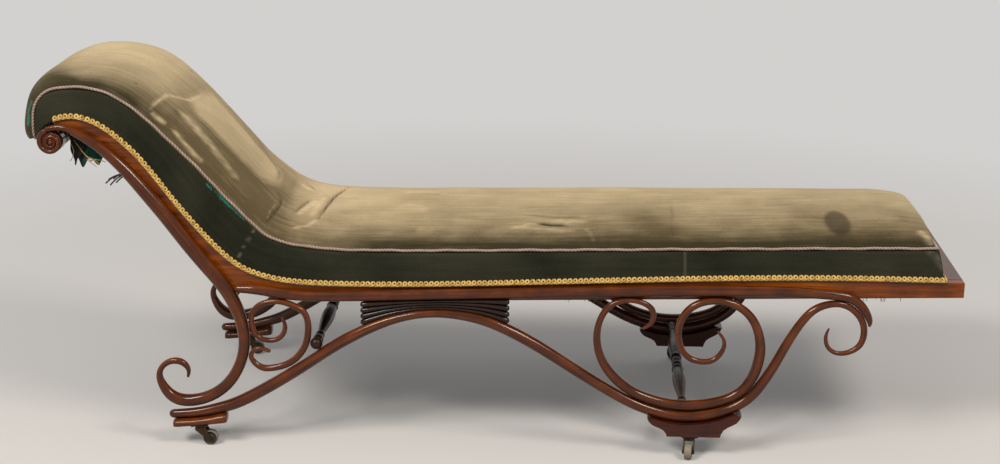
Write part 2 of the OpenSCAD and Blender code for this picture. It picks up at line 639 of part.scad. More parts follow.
module back_lining() {
    n = len(board_foot_line);
    low = [for (i = [0 : n - 1]) board_foot_line[i]];
    high = [for (i = [n - 1 : -1 : 0])
        board_foot_line[i] + left_at(board_foot_line, i) * cloth_t];
    color("#4a4136") board_of(concat(low, high), -cloth_half, cloth_half);
}

// Casters: places and the ways that their wheels trail
caster_turns = [0, 8, -98, 112];
caster_places = [for (k = [0 : 3])
    [place_x(k < 2 ? head_caster_share : foot_caster_share), k % 2 == 0 ? -rod_y : rod_y]];
module at_block(k) { translate([caster_places[k][0], caster_places[k][1], 0]) children(); }
module at_caster(k) { at_block(k) rotate([0, 0, caster_turns[k]]) children(); }

screw_r = 1.7;
screw_head_r = 3.2;
screw_head_h = 1.4;
screw_spread_share = [0.36, 0.34];
module screw_places() {
    for (sx = [-1, 1]) for (sy = [-1, 1])
        translate([sx * plate_l * screw_spread_share[0], sy * plate_w * screw_spread_share[1],
            caster_h]) children();
}
module pilot_hole() {
    translate([0, 0, -plate_t - over])
        cylinder(r = screw_r + run_gap, h = plate_t + block_reach + over, $fn = 24);
}
module caster_screws() {
    color(bronze) for (k = [0 : 3]) at_block(k) screw_places() union() {
        translate([0, 0, -plate_t - seat_gap])
            cylinder(r = screw_r, h = plate_t + block_reach, $fn = 24);
        translate([0, 0, -plate_t - seat_gap - screw_head_h])
            cylinder(r = screw_head_r, h = screw_head_h, $fn = 24);
    }
}
plate_round_share = 0.45;
module plate() {
    color(bronze) difference() {
        translate([0, 0, caster_h - plate_t]) intersection() {
            translate([-plate_l / 2, -plate_w / 2, 0])
                cube([plate_l, plate_w, plate_t - seat_gap]);
            translate([0, 0, -over])
                cylinder(r = norm([plate_l, plate_w]) * plate_round_share,
                    h = plate_t + 2 * over, $fn = 64);
        }
        translate([0, 0, -over]) cylinder(r = spindle_r + run_gap, h = caster_h + 2 * over, $fn = 32);
        screw_places() pilot_hole();
    }
}

// The horn: a neck under the plate, a crown over the wheel and two arms to the axle
neck_r = 8;
neck_h = 3;
crown_t = 6;
fork_gap = 1;
eye_r = 5.5;
horn_top = caster_h - plate_t - seat_gap;
crown_top = horn_top - neck_h;
arm_in = wheel_w / 2 + fork_gap;
arm_out = arm_in + arm_t;
crown_front = neck_r * 1.4;
module horn_side() {
    board_of([[-neck_r, crown_top], [crown_front, crown_top], [trail + eye_r, wheel_r],
        [trail, wheel_r - eye_r / 2], [trail - eye_r, wheel_r - eye_r / 4],
        [-neck_r, crown_top - crown_t]], arm_in, arm_out);
    translate([trail, arm_out, wheel_r]) rotate([90, 0, 0])
        cylinder(r = eye_r, h = arm_t, $fn = 32);
}
module axle_rod(r, half) {
    translate([trail, half, wheel_r]) rotate([90, 0, 0]) cylinder(r = r, h = 2 * half, $fn = 32);
}
module horn() {
    color(bronze) difference() {
        union() {
            translate([0, 0, crown_top]) cylinder(r = neck_r, h = neck_h, $fn = 32);
            translate([0, 0, crown_top]) cylinder(r = spindle_r,
                h = caster_h - crown_top + block_reach, $fn = 32);
            board_of([[-neck_r, crown_top], [crown_front, crown_top],
                [crown_front, crown_top - crown_t], [-neck_r, crown_top - crown_t]],
                -arm_out, arm_out);
            horn_side();
            mirror([0, 1, 0]) horn_side();
        }
        axle_rod(axle_r + run_gap, arm_out + over);
    }
}
axle_head_r = 4;
axle_head_h = 1.2;
module axle() {
    color(bronze) union() {
        axle_rod(axle_r, arm_out + run_gap + axle_head_h);
        for (side = [-1, 1]) translate([0, side * (arm_out + run_gap + axle_head_h / 2), 0])
            axle_rod(axle_head_r, axle_head_h / 2);
    }
}

// The wheel's half outline from its hub out, in shares of its radius and half width
wheel_shares = [[0.34, 1.08], [0.42, 0.72], [0.74, 0.72], [0.82, 1.00], [0.94, 0.96],
    [1.00, 0.60]];
module wheel() {
    half = [for (p = wheel_shares) [p[0] * wheel_r, p[1] * wheel_w / 2]];
    back = [for (i = [len(half) - 1 : -1 : 0]) [half[i][0], -half[i][1]]];
    bore = axle_r + run_gap;
    color("#c9bfae") translate([trail, 0, wheel_r]) rotate([90, 0, 0])
        rotate_extrude($fn = 48)
        polygon(concat([[bore, half[0][1]]], half, back, [[bore, -half[0][1]]]));
}

back_leg();  // back_leg_near
far_side() back_leg();  // back_leg_far
volute_scroll();  // volute_near
far_side() volute_scroll();  // volute_far
seat_rod();  // seat_rod_near
far_side() seat_rod();  // seat_rod_far
bow();  // bow_near
far_side() bow();  // bow_far
head_scroll();  // head_scroll_near
far_side() head_scroll();  // head_scroll_far
foot_scroll();  // foot_scroll_near
far_side() foot_scroll();  // foot_scroll_far
fan();  // fan_near
far_side() fan();  // fan_far
side_rail();  // side_rail_near
far_side() side_rail();  // side_rail_far
foot_rail();
head_rail();
bend_rail();
seat_cross_rails();
head_pad();  // head_pad_near
far_side() head_pad();  // head_pad_far
foot_block();  // foot_block_near
far_side() foot_block();  // foot_block_far
head_stretcher();
foot_stretcher();
seat_pad();
side_band();  // side_band_near
far_side() side_band();  // side_band_far
foot_band();
piping();  // piping_near
far_side() piping();  // piping_far
foot_piping();
braid();  // braid_near
far_side() braid();  // braid_far
foot_braid();
webbing();
dust_cloth();
back_lining();
caster_screws();
at_block(0) plate();  // plate_head_near
at_block(1) plate();  // plate_head_far
at_block(2) plate();  // plate_foot_near
at_block(3) plate();  // plate_foot_far
at_caster(0) horn();  // horn_head_near
at_caster(1) horn();  // horn_head_far
at_caster(2) horn();  // horn_foot_near
at_caster(3) horn();  // horn_foot_far
at_caster(0) wheel();  // wheel_head_near
at_caster(1) wheel();  // wheel_head_far
at_caster(2) wheel();  // wheel_foot_near
at_caster(3) wheel();  // wheel_foot_far
at_caster(0) axle();  // axle_head_near
at_caster(1) axle();  // axle_head_far
at_caster(2) axle();  // axle_foot_near
at_caster(3) axle();  // axle_foot_far
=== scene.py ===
# %% [markdown]
# # A fainting couch on a bentwood frame
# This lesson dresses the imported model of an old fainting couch. The model gives every place and
# size. Blender adds what a plain solid can't show: round polished rods, the stuffed and worn
# velvet, the cord, the gimp braid and the old casters.

# %% Load the frame
import math
import bmesh
import bpy
import numpy as np
from mathutils import Matrix, Vector


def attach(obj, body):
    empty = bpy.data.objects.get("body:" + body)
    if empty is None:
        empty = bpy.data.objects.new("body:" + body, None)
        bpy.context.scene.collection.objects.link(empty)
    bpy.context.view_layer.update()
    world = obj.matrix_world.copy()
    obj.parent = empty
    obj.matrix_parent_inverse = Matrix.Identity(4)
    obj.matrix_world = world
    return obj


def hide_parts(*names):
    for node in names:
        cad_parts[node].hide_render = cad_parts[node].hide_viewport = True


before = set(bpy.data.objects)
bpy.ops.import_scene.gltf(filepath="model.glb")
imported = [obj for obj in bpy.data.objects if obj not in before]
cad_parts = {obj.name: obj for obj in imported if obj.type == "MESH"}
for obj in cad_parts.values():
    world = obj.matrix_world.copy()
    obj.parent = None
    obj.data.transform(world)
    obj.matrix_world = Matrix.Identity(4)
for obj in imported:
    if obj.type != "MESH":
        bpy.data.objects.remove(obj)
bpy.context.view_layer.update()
print("nodes in the frame:", len(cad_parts))

# %% [markdown]
# The camera comes first, because every later step is judged through it. It could be aimed by
# hand, but its place was worked out from matching points on the near and far side frames, so it
# is written here as a place and two directions. The 63 mm lens is a mild telephoto.

# %% Camera
lens = bpy.data.cameras.new("camera")
lens.sensor_width = 36
lens.lens = 63
to_right = Vector((0.99885, 0.04770, 0.00419)).normalized()
to_back = Vector((0.04460, -0.95859, 0.28127)).normalized()
to_top = to_back.cross(to_right)
camera = bpy.data.objects.new("camera", lens)
bpy.context.scene.collection.objects.link(camera)
camera.matrix_world = Matrix.Translation((0.1722, -3.640, 1.462)) @ Matrix(
    (to_right, to_top, to_back)).transposed().to_4x4()
bpy.context.scene.camera = camera
print("camera stands", round(camera.location.length, 2), "m from the middle of the couch")

# %% [markdown]
# Colours are written as the hex values that a colour picker shows, and Blender's shaders work in
# linear light, so one function converts them. A second one adds a shader node with its settings
# and its links: a number sets a socket, and a node or one of its outputs is joined to it.

# %% Colour and shader helpers
def linear(code):
    parts = [int(code[k:k + 2], 16) / 255 for k in (1, 3, 5)]
    return [p / 12.92 if p <= 0.04045 else ((p + 0.055) / 1.055) ** 2.4 for p in parts] + [1]


def add(tree, kind, links=None, stops=None, **settings):
    made = tree.nodes.new("ShaderNode" + kind)
    for name, value in settings.items():
        setattr(made, name, value)
    for place, value in (links or {}).items():
        if isinstance(value, bpy.types.Node):
            value = value.outputs[0]
        if isinstance(value, bpy.types.NodeSocket):
            tree.links.new(value, made.inputs[place])
        else:
            made.inputs[place].default_value = value
    for k, (at, value) in enumerate(stops or []):
        spots = made.color_ramp.elements
        spot = spots[k] if k < 2 else spots.new(at)
        spot.position = at
        spot.color = linear(value) if isinstance(value, str) else (value, value, value, 1)
    return made


def new_material(name):
    made = bpy.data.materials.new(name)
    made.use_nodes = True
    made.node_tree.nodes.clear()
    return made, made.node_tree


print("polish brown in linear light:", [round(v, 3) for v in linear("#7a3f1c")[:3]])

# %% [markdown]
# ## The polished woods
# The rods are beech, steamed until soft, bent over iron forms, stained red-brown and French
# polished. The stain lies in streaks along the rod, because a bent rod's fibres run round every
# curl with it. So the pattern reads `lay`, a value kept on each point of a piece: metres along
# the piece, and metres across it. The solids of the frame have no `lay`; they read their own
# coordinates, with the grain's direction given for each.

# %% Wood recipe
def polished_wood(name, shades, where="lay", grain=(5, 170, 170), gloss=0.12, rub=0.3, coat=0.3):
    made, tree = new_material(name)
    if where == "lay":
        place = add(tree, "Attribute", attribute_name="lay").outputs["Vector"]
    else:
        place = add(tree, "TexCoord").outputs["Object"]
    along = add(tree, "Mapping", {0: place, 3: grain}).outputs[0]
    streak = add(tree, "TexNoise", {"Vector": along, "Scale": 1.0, "Detail": 5.0, "Roughness": 0.62})
    # Patches of darker and lighter stain, about 60 mm across
    patch = add(tree, "TexNoise", {"Vector": place, "Scale": 16.0, "Detail": 3.0})
    calm = add(tree, "Math", {0: patch, 1: 0.55, 2: 0.225}, operation="MULTIPLY_ADD")
    both = add(tree, "Math", {0: streak, 1: calm}, operation="ADD")
    half = add(tree, "Math", {0: both, 1: 0.5}, operation="MULTIPLY")
    stain = add(tree, "ValToRGB", {0: half},
                [(0.36, shades[0]), (0.64, shades[2]), (0.5, shades[1])])
    # Pores: fine dark dashes, 0.3 mm wide on the real wood and drawn 0.8 mm wide here
    dash = add(tree, "Mapping", {0: place, 3: [g * 4 for g in grain]}).outputs[0]
    pore = add(tree, "TexNoise", {"Vector": dash, "Scale": 1.8, "Detail": 2.0})
    open_pore = add(tree, "ValToRGB", {0: pore}, [(0.60, 0.0), (0.72, 1.0)])
    dark = add(tree, "Mix", {0: open_pore, 6: stain, 7: linear(shades[3])}, data_type="RGBA")
    # Dust and old wax dull the polish in patches
    dull = add(tree, "ValToRGB", {0: patch}, [(0.35, gloss), (0.75, gloss + 0.12)])
    rise = add(tree, "Bump", {"Height": half, "Strength": rub, "Distance": 0.0006})
    # Old shellac has sunk into the wood, so the wood under it mirrors little
    cover = add(tree, "BsdfPrincipled", {"Base Color": dark.outputs[2], "Roughness": dull,
                                         "Normal": rise, "IOR": 1.5, "Coat Weight": coat,
                                         "Coat Roughness": 0.05, "Specular IOR Level": 0.2})
    add(tree, "OutputMaterial", {0: cover})
    return made


# Stained beech under shellac: warm red-brown, with a narrow bright line where the light falls
bentwood = polished_wood("french_polished_beech", ("#2b1204", "#572606", "#813f0b", "#150702"))
board_wood = polished_wood("french_polished_board", ("#451f05", "#793908", "#a85911", "#1f0d03"),
                           "object", (4, 60, 110), 0.26)
# The turned and carved pieces took more stain and are nearly black-brown
dark_lay = polished_wood("dark_stained_beech", ("#120904", "#23120a", "#341a0e", "#090502"))
dark_across = polished_wood("dark_turned_beech", ("#180b05", "#2b160b", "#402212", "#0d0603"),
                            "object", (170, 5, 170), 0.32, 0.3, 0.1)
block_wood = polished_wood("block_beech", ("#2a1109", "#461c0f", "#5b2915", "#150804"),
                           "object", (6, 120, 120), 0.3)
print("woods:", [m.name for m in (bentwood, board_wood, dark_lay, dark_across, block_wood)])

# %% [markdown]
# ## Curves in the side view
# All the scrollwork lies in two upright planes, so one side view describes it. Places are
# shares: along the length, and up the clear height to the rails, then up the back. A cubic
# B-spline runs close to the points, as a steamed rod does over its form. The tables are the
# ones that the solids were made from, so the dressed rods lie where the solids do.

# %% Places and bends
frame_len, clear_h, rail_climb, back_rise = 1880, 325, 48, 450
middle_x = 9
rod_y = 272


def rail_z(x):
    return clear_h + rail_climb * (x - middle_x) / frame_len


def place(share_x, share_z):
    x = share_x * frame_len + middle_x
    low = rail_z(x)
    return x, share_z * low if share_z <= 1 else low + (share_z - 1) * back_rise


def bend(points, steps):
    p = np.asarray(points, float)
    pulled = p.copy()
    pulled[1:-1] += (2 * p[1:-1] - p[:-2] - p[2:]) / 6
    p = np.vstack([2 * pulled[0] - pulled[1], pulled, 2 * pulled[-1] - pulled[-2]])
    u = np.arange(steps)[:, None] / steps
    shares = ((1 - u) ** 3, 3 * u ** 3 - 6 * u ** 2 + 4, 3 * u ** 2 - 3 * u ** 3 + 3 * u + 1, u ** 3)
    parts = [sum(w * q for w, q in zip(shares, p[k:k + 4])) / 6 for k in range(len(p) - 3)]
    return np.vstack(parts + [p[-2:-1]])


def place_all(rows):
    return np.array([[*place(*row[:2]), *row[2:]] for row in rows])


def left_of(path):
    ways = np.vstack([path[1] - path[0], path[2:] - path[:-2], path[-1] - path[-2]])[:, :2]
    ways /= np.linalg.norm(ways, axis=1)[:, None]
    return np.stack([-ways[:, 1], ways[:, 0]], axis=1)


def run_of(path):
    return np.r_[0, np.cumsum(np.linalg.norm(np.diff(path[:, :2], axis=0), axis=1))]


print("the rails climb", rail_climb, "mm over", frame_len, "mm")

# %% [markdown]
# ## Making a piece
# A mesh could come from Blender's own shapes, but every piece here is a skin over rings of
# points: a rod, a stuffed pad and a looped braid differ only in their rings. One function joins
# the rings with faces, and one turns the result into a named object that rides on its CAD body.

# %% Skins and pieces
def skin(rings, ends=True):
    n, m = rings.shape[:2]
    k = (np.arange(n - 1)[:, None] * m + np.arange(m)).ravel()
    j = (np.arange(n - 1)[:, None] * m + (np.arange(m) + 1) % m).ravel()
    faces = np.stack([k, j, j + m, k + m], axis=1).tolist()
    if ends:
        faces += [list(range(m))[::-1], list(range((n - 1) * m, n * m))]
    return rings.reshape(-1, 3), faces


def joined(parts):
    points, faces, lays, first = [], [], [], 0
    for part_points, part_faces, part_lay in parts:
        points.append(part_points)
        lays.append(part_lay)
        faces += [[first + v for v in face] for face in part_faces]
        first += len(part_points)
    return np.vstack(points), faces, np.vstack(lays)


def piece(name, points, faces, lay, finish, slot, nodes=(), body="frame", outward=True):
    mesh = bpy.data.meshes.new(name)
    mesh.from_pydata((np.asarray(points) / 1000).tolist(), [], faces)
    mesh.attributes.new("lay", "FLOAT_VECTOR", "POINT").data.foreach_set(
        "vector", (np.asarray(lay, float) / 1000).ravel())
    if outward:
        shell = bmesh.new()
        shell.from_mesh(mesh)
        bmesh.ops.recalc_face_normals(shell, faces=shell.faces)
        shell.to_mesh(mesh)
        shell.free()
    mesh.shade_smooth()
    mesh.materials.append(finish)
    made = bpy.data.objects.new(name, mesh)
    bpy.context.scene.collection.objects.link(made)
    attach(made, body)
    if nodes:
        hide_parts(*nodes)
    return made


def mirrored(points, side):
    return points * (1, -1, 1) if side == "far" else points


print("pieces carry the attribute lay, in metres")

# %% [markdown]
# ## The bentwood rods
# Each rod is one length of wood. Its table follows the edge that it rests by, with its
# thickness at each point, because the rods are shaved thinner towards their curls. A rod that
# is screwed to the side board has a flat back there. Curves with a bevel would be quicker, but
# they can't give that flat, so rings are used.

# %% Tables of the rods
sweep_shares = [[0.144, 0.392], [0.164, 0.342], [0.186, 0.305], [0.207, 0.293],
    [0.229, 0.304], [0.254, 0.344], [0.273, 0.411]]
curl_shares = [[0.362, 1.001], [0.377, 0.985], [0.389, 0.937], [0.397, 0.872]]


def with_radius(shares, radii):
    return [[*s, r] for s, r in zip(shares, radii)]


back_leg_shares = [[-0.480, 1.833, 0.46], [-0.468, 1.843, 0.53], [-0.455, 1.835, 0.62],
    [-0.436, 1.795, 0.78], [-0.415, 1.738, 0.94], [-0.393, 1.653, 1.08],
    [-0.371, 1.546, 1.20], [-0.349, 1.431, 1.25], [-0.329, 1.313, 1.25],
    [-0.309, 1.204, 1.25], [-0.290, 1.104, 1.25], [-0.278, 1.005, 1.20],
    [-0.272, 0.878, 1.06], [-0.270, 0.756, 1.00], [-0.273, 0.622, 0.96],
    [-0.283, 0.482, 0.98], [-0.299, 0.370, 1.00], [-0.321, 0.294, 1.04],
    [-0.346, 0.272, 1.08], [-0.364, 0.315, 1.02], [-0.374, 0.414, 0.78],
    [-0.376, 0.508, 0.54], [-0.369, 0.583, 0.50], [-0.357, 0.620, 0.58],
    [-0.344, 0.606, 0.58], [-0.337, 0.541, 0.42], [-0.339, 0.483, 0.24]]
bow_shares = [[-0.359, 0.247, 0.78], [-0.330, 0.265, 0.85], [-0.307, 0.306, 0.98],
    [-0.286, 0.350, 1.05], [-0.247, 0.482, 1.05], [-0.209, 0.625, 1.00],
    [-0.181, 0.740, 1.02], [-0.140, 0.867, 0.95], [-0.100, 0.938, 0.78],
    [-0.063, 0.957, 0.75], [-0.028, 0.933, 0.84], [0.003, 0.883, 0.97],
    [0.043, 0.761, 1.00], [0.080, 0.620, 0.98], [0.114, 0.492, 0.96],
    *with_radius(sweep_shares, [0.96, 0.97, 1.00, 1.03, 1.03, 0.97, 0.93]),
    [0.286, 0.508, 0.90], [0.297, 0.610, 0.86], [0.307, 0.721, 0.82], [0.318, 0.826, 0.76],
    [0.331, 0.927, 0.72], [0.345, 0.981, 0.66],
    *with_radius(curl_shares, [0.60, 0.58, 0.58, 0.58]),
    [0.3995, 0.796, 0.57], [0.396, 0.718, 0.54], [0.387, 0.675, 0.48],
    [0.377, 0.656, 0.43], [0.365, 0.660, 0.39], [0.355, 0.707, 0.37],
    [0.353, 0.778, 0.31], [0.357, 0.827, 0.15]]
seat_rod_shares = [[-0.282, 1.052, 0.75], [-0.266, 1.045, 0.95],
    [-0.246, 1.032, 1.00], [-0.214, 1.012, 1.00], [-0.160, 1.008, 1.00],
    [-0.061, 1.013, 1.00], [0.111, 1.021, 1.00], [0.219, 1.022, 1.00],
    [0.283, 1.020, 1.00], [0.336, 1.010, 0.98],
    *with_radius(curl_shares, [0.92, 0.90, 0.82, 0.62]), [0.3992, 0.842, 0.3]]
head_scroll_shares = [[-0.249, 0.684, 0.60], [-0.260, 0.704, 0.62], [-0.270, 0.673, 0.66],
    [-0.272, 0.609, 0.75], [-0.262, 0.541, 0.95], [-0.249, 0.527, 1.00],
    [-0.228, 0.557, 1.02], [-0.213, 0.632, 1.02], [-0.204, 0.730, 1.03],
    [-0.202, 0.856, 0.98], [-0.207, 0.952, 0.95], [-0.222, 1.006, 0.95],
    [-0.239, 1.024, 0.85], [-0.258, 1.009, 0.82], [-0.269, 0.949, 0.80],
    [-0.2705, 0.859, 0.80], [-0.265, 0.762, 0.78], [-0.249, 0.725, 0.78],
    [-0.234, 0.752, 0.76], [-0.228, 0.834, 0.72], [-0.232, 0.899, 0.40]]
foot_scroll_shares = [[0.160, 0.818, 0.30], [0.169, 0.847, 0.48],
    [0.173, 0.915, 0.58], [0.166, 0.988, 0.60], [0.144, 1.020, 0.55],
    [0.121, 0.994, 0.66], [0.108, 0.878, 0.68], [0.105, 0.739, 0.78],
    [0.111, 0.602, 0.90], [0.124, 0.489, 0.98],
    *with_radius(sweep_shares, [1.00, 1.00, 1.05, 1.10, 1.07, 1.00, 1.03]),
    [0.285, 0.514, 1.08], [0.2915, 0.652, 1.10], [0.289, 0.788, 0.98], [0.278, 0.913, 0.86],
    [0.259, 0.996, 0.82], [0.237, 1.019, 0.78], [0.214, 1.002, 0.80],
    [0.197, 0.909, 0.74], [0.193, 0.772, 0.70], [0.201, 0.654, 0.64],
    [0.215, 0.602, 0.62], [0.235, 0.598, 0.60], [0.247, 0.671, 0.50],
    [0.249, 0.748, 0.40], [0.241, 0.808, 0.25]]
print("the bow has", len(bow_shares), "points")

# %% [markdown]
# The rings sit square to the rod's middle line. Both ends are closed by a few rings that
# shrink to a dome, as the real ends are rounded over with a rasp. Rods that lie on each other
# keep a hair of space, where the real ones are glued.

# %% Rods
seat_gap, board_setback = 0.3, 10.5
rod_sides, rod_steps = 20, 6


def rod_middle(shares, side, radius, steps=rod_steps):
    edge = bend(place_all(shares), steps)
    thick = edge[:, 2] * radius
    middle = edge[:, :2] - side * left_of(edge) * (thick + seat_gap)[:, None]
    return np.column_stack([middle, thick])


def rod_rings(middle, planted=False, sides=rod_sides):
    across = left_of(middle)
    along = run_of(middle)
    ahead = np.stack([across[:, 1], -across[:, 0]], axis=1)
    rows = [(middle[k, :2], across[k], middle[k, 2], along[k]) for k in range(len(middle))]
    for turn in (35, 65, 85):
        share, out = math.cos(math.radians(turn)), math.sin(math.radians(turn))
        for k, way in ((0, -1), (-1, 1)):
            r = middle[k, 2]
            row = (middle[k, :2] + ahead[k] * way * r * out, across[k], r * share, along[k])
            rows.insert(0, row) if way < 0 else rows.append(row)
    a = 2 * math.pi * (np.arange(sides) + 0.5) / sides
    rings, lays = [], []
    for at, left, r, run in rows:
        back = board_setback - seat_gap if planted and at[1] > rail_z(at[0]) - r else rod_y
        depth = np.minimum(r * np.sin(a), back)
        rings.append(np.stack([at[0] + left[0] * r * np.cos(a), depth - rod_y,
                               at[1] + left[1] * r * np.cos(a)], axis=1))
        lays.append(np.stack([np.full(sides, run), r * np.cos(a), r * np.sin(a)], axis=1))
    return np.array(rings), np.array(lays)


rods = {
    "back_leg": (rod_middle(back_leg_shares, 1, 12), True),
    "seat_rod": (rod_middle(seat_rod_shares, -1, 11), True),
    "bow": (rod_middle(bow_shares, 1, 12), False),
    "head_scroll": (rod_middle(head_scroll_shares, -1, 7), False),
    "foot_scroll": (rod_middle(foot_scroll_shares, -1, 10), False),
}
for rod_name, (middle, planted) in rods.items():
    rings, lays = rod_rings(middle, planted)
    points, faces = skin(rings)
    for number, side in enumerate(("near", "far")):
        # Each rod starts at another place in the grain
        lay = lays.reshape(-1, 3) + (700 * number + 90 * len(rod_name), 0, 0)
        piece(f"rod_{rod_name}_{side}", mirrored(points, side), faces, lay, bentwood,
              "polished_bentwood", [f"{rod_name}_{side}"])
    print(rod_name, "is", round(run_of(middle)[-1]), "mm long")

# %% [markdown]
# ## The volute
# The top of the long rod is carved as a coil on a round boss, which hides the joint with the
# head rail. On the real couch it is one block, cut with gouges. Here a tube thins as it winds
# in, over a boss with a dished face, and a small button fills the eye.

# %% Volute
volute = np.array(place(-0.4766, 1.759))
board_face, board_t = 261.5, 22
board_back = board_face - board_t
coil_r, bead_r = 26, 12 * 0.46
turns = np.arange(0, 2 * 28 + 1) / 28
angle = np.radians(114 + 360 * turns)
reach = coil_r * 0.46 ** turns
coil = np.column_stack([volute[0] + reach * np.cos(angle), volute[1] + reach * np.sin(angle),
                        bead_r * 0.68 ** turns])


def turned_rings(outline, sides, at, y_first):
    a = 2 * math.pi * np.arange(sides) / sides
    rings = [np.stack([at[0] + r * np.cos(a), np.full(sides, y_first + y), at[1] + r * np.sin(a)],
                      axis=1) for y, r in outline]
    lays = [np.stack([r * np.cos(a), r * np.sin(a), np.full(sides, y)], axis=1) for y, r in outline]
    return np.array(rings), np.array(lays)


boss_r = coil_r - 0.75 * bead_r
boss_outline = [(1.2, 0.5), (1.2, 9), (0.6, 15), (0, 19), (0.6, 21), (2, boss_r), (10, boss_r),
                (rod_y - board_back, boss_r)]
eye_outline = [(-5.0, 0.3), (-4.8, 1.6), (-4.0, 3.0), (-2.5, 4.0), (0, 4.3), (1.5, 4.3)]
for side in ("near", "far"):
    parts = []
    for rings, lays in (rod_rings(coil, sides=16), turned_rings(boss_outline, 48, volute, -rod_y),
                        turned_rings(eye_outline, 20, volute, -rod_y)):
        points, faces = skin(rings)
        parts.append((mirrored(points, side), faces, lays.reshape(-1, 3)))
    piece(f"volute_coil_{side}", *joined(parts), bentwood, "polished_bentwood", [f"volute_{side}"])
print("the coil winds in from", coil_r, "to", round(reach[-1], 1), "mm")

# %% [markdown]
# ## The fan
# A wedge fills the space between the bow's arch and the seat. Its face is cut in reeds that
# are close together in the middle and spread to both ends, like a sheaf. It could be a carved
# texture, but the ends show the round tips, so the reeds are real rods with flat backs.

# %% Fan
bow_edge = bend(place_all(bow_shares), rod_steps)
seat_edge = bend(place_all(seat_rod_shares), rod_steps)
fan_x = np.array([place(s, 1)[0] for s in np.linspace(-0.145, 0.011, 29)])
arch = bow_edge[bow_edge[:, 0] < frame_len / 4]
fan_low = np.interp(fan_x, arch[:, 0], arch[:, 1]) + seat_gap / 2
fan_high = np.interp(fan_x, seat_edge[:, 0], seat_edge[:, 1]) - seat_gap
reeds = 4
fan_parts = []
for j in range(reeds):
    step = (fan_high - fan_low) / reeds
    middle = np.column_stack([fan_x, fan_low + step * (j + 0.5), step * 0.46])
    rings, lays = rod_rings(middle, sides=12)
    # The reeds stand 9 mm proud however low they are, so that they still catch the light
    face = rings[..., 1] + rod_y
    rings[..., 1] = -rod_y + np.where(face < 0, face - 2.5, np.minimum(face, 9.5))
    fan_parts.append((*skin(rings), lays.reshape(-1, 3)))
low_back = np.stack([fan_x, fan_low + 0.4], axis=1)
high_back = np.stack([fan_x, [rail_z(x) - seat_gap for x in fan_x]], axis=1)
slab = np.array([[[l[0], -rod_y + 1, l[1]], [h[0], -rod_y + 1, h[1]], [h[0], -rod_y + 22, h[1]],
                  [l[0], -rod_y + 22, l[1]]] for l, h in zip(low_back, high_back)])
fan_parts.append((*skin(slab), slab.reshape(-1, 3)))
for side in ("near", "far"):
    made = piece(f"reeded_fan_{side}", *joined([(mirrored(p, side), f, l) for p, f, l in fan_parts]),
                 dark_lay, "dark_turned_wood", [f"fan_{side}"])
print("the fan's ends are", round(fan_high[0] - fan_low[0]), "and", round(fan_high[-1] - fan_low[-1]),
      "mm high")

# %% [markdown]
# ## Blocks and rails
# The sawn and turned solids already have their true shape. What gives a solid away is its
# knife edge, so a bevel modifier rounds each edge by a millimetre, as sandpaper and a century
# of hands do, and weighted normals keep the flat faces flat.

# %% Solids that stay
def dressed(node, finish, edge=1.2):
    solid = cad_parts[node]
    for holder in solid.material_slots:
        holder.material = finish
    solid.data.shade_smooth()
    solid.modifiers.new("weld", "WELD").merge_threshold = 0.00001
    if edge:
        rounding = solid.modifiers.new("rounded edges", "BEVEL")
        rounding.width = edge / 1000
        rounding.segments = 3
        rounding.limit_method = "ANGLE"
        rounding.angle_limit = math.radians(38)
    solid.modifiers.new("even normals", "WEIGHTED_NORMAL").keep_sharp = True


rail_wood = polished_wood("french_polished_rail", ("#3c1b0b", "#5d2c10", "#793f19", "#1c0d06"),
                          "object", (110, 4, 110), 0.2)
sawn_wood = polished_wood("sawn_pine", ("#7d5f3d", "#97754c", "#a98558", "#4f3c28"),
                          "object", (40, 5, 40), 0.6, 0.7)
for side in ("near", "far"):
    dressed(f"side_rail_{side}", board_wood, 1.6)
    dressed(f"foot_block_{side}", block_wood, 1.4)
dressed("foot_rail", rail_wood, 1.6)
for node in ("head_rail", "bend_rail", "seat_cross_rails"):
    dressed(node, sawn_wood, 0.8)
for node in ("head_stretcher", "foot_stretcher"):
    dressed(node, dark_across, 0)
print("edges rounded on", sum("rounded edges" in o.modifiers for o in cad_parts.values()), "solids")

# %% [markdown]
# Under each head leg lies a short moulded pad. It is a plank with both long faces planed round,
# so from the side it looks like a second rod under the bow. Its top is hollowed to the bow.

# %% Head pads
bow_line = rods["bow"][0]
under_bow = bow_line[:, :2] - left_of(bow_line) * (bow_line[:, 2:] + seat_gap)
under_bow = under_bow[under_bow[:, 1] < clear_h / 2]
pad_x = np.linspace(place(-0.358, 1)[0], place(-0.299, 1)[0], 25)
pad_high = np.interp(pad_x, under_bow[:, 0], under_bow[:, 1])
# The underside climbs 12 mm towards the foot, and a plank 36 mm wide is planed nearly round
pad_climb, pad_depth, pad_sides = 12, 36, 32
pad_low = 0.143 * clear_h + pad_climb / np.ptp(pad_x) * (pad_x - place(-0.330, 1)[0] - 19)
a = 2 * math.pi * (np.arange(pad_sides) + 0.5) / pad_sides
deep = np.sign(np.cos(a)) * np.abs(np.cos(a)) ** 0.62 * pad_depth / 2
tall = np.sign(np.sin(a)) * np.abs(np.sin(a)) ** 0.8
shrink = np.r_[0.90, 0.98, np.ones(21), 0.98, 0.90]
rings = np.array([np.stack([np.full(pad_sides, x), deep * s - rod_y,
                            (high + low) / 2 + tall * s * (high - low) / 2], axis=1)
                  for x, high, low, s in zip(pad_x, pad_high, pad_low, shrink)])
lays = rings - (rings[0, 0, 0], -rod_y, 50)
for side in ("near", "far"):
    points, faces = skin(rings)
    piece(f"moulded_pad_{side}", mirrored(points, side), faces, lays.reshape(-1, 3), bentwood,
          "dark_turned_wood", [f"head_pad_{side}"])
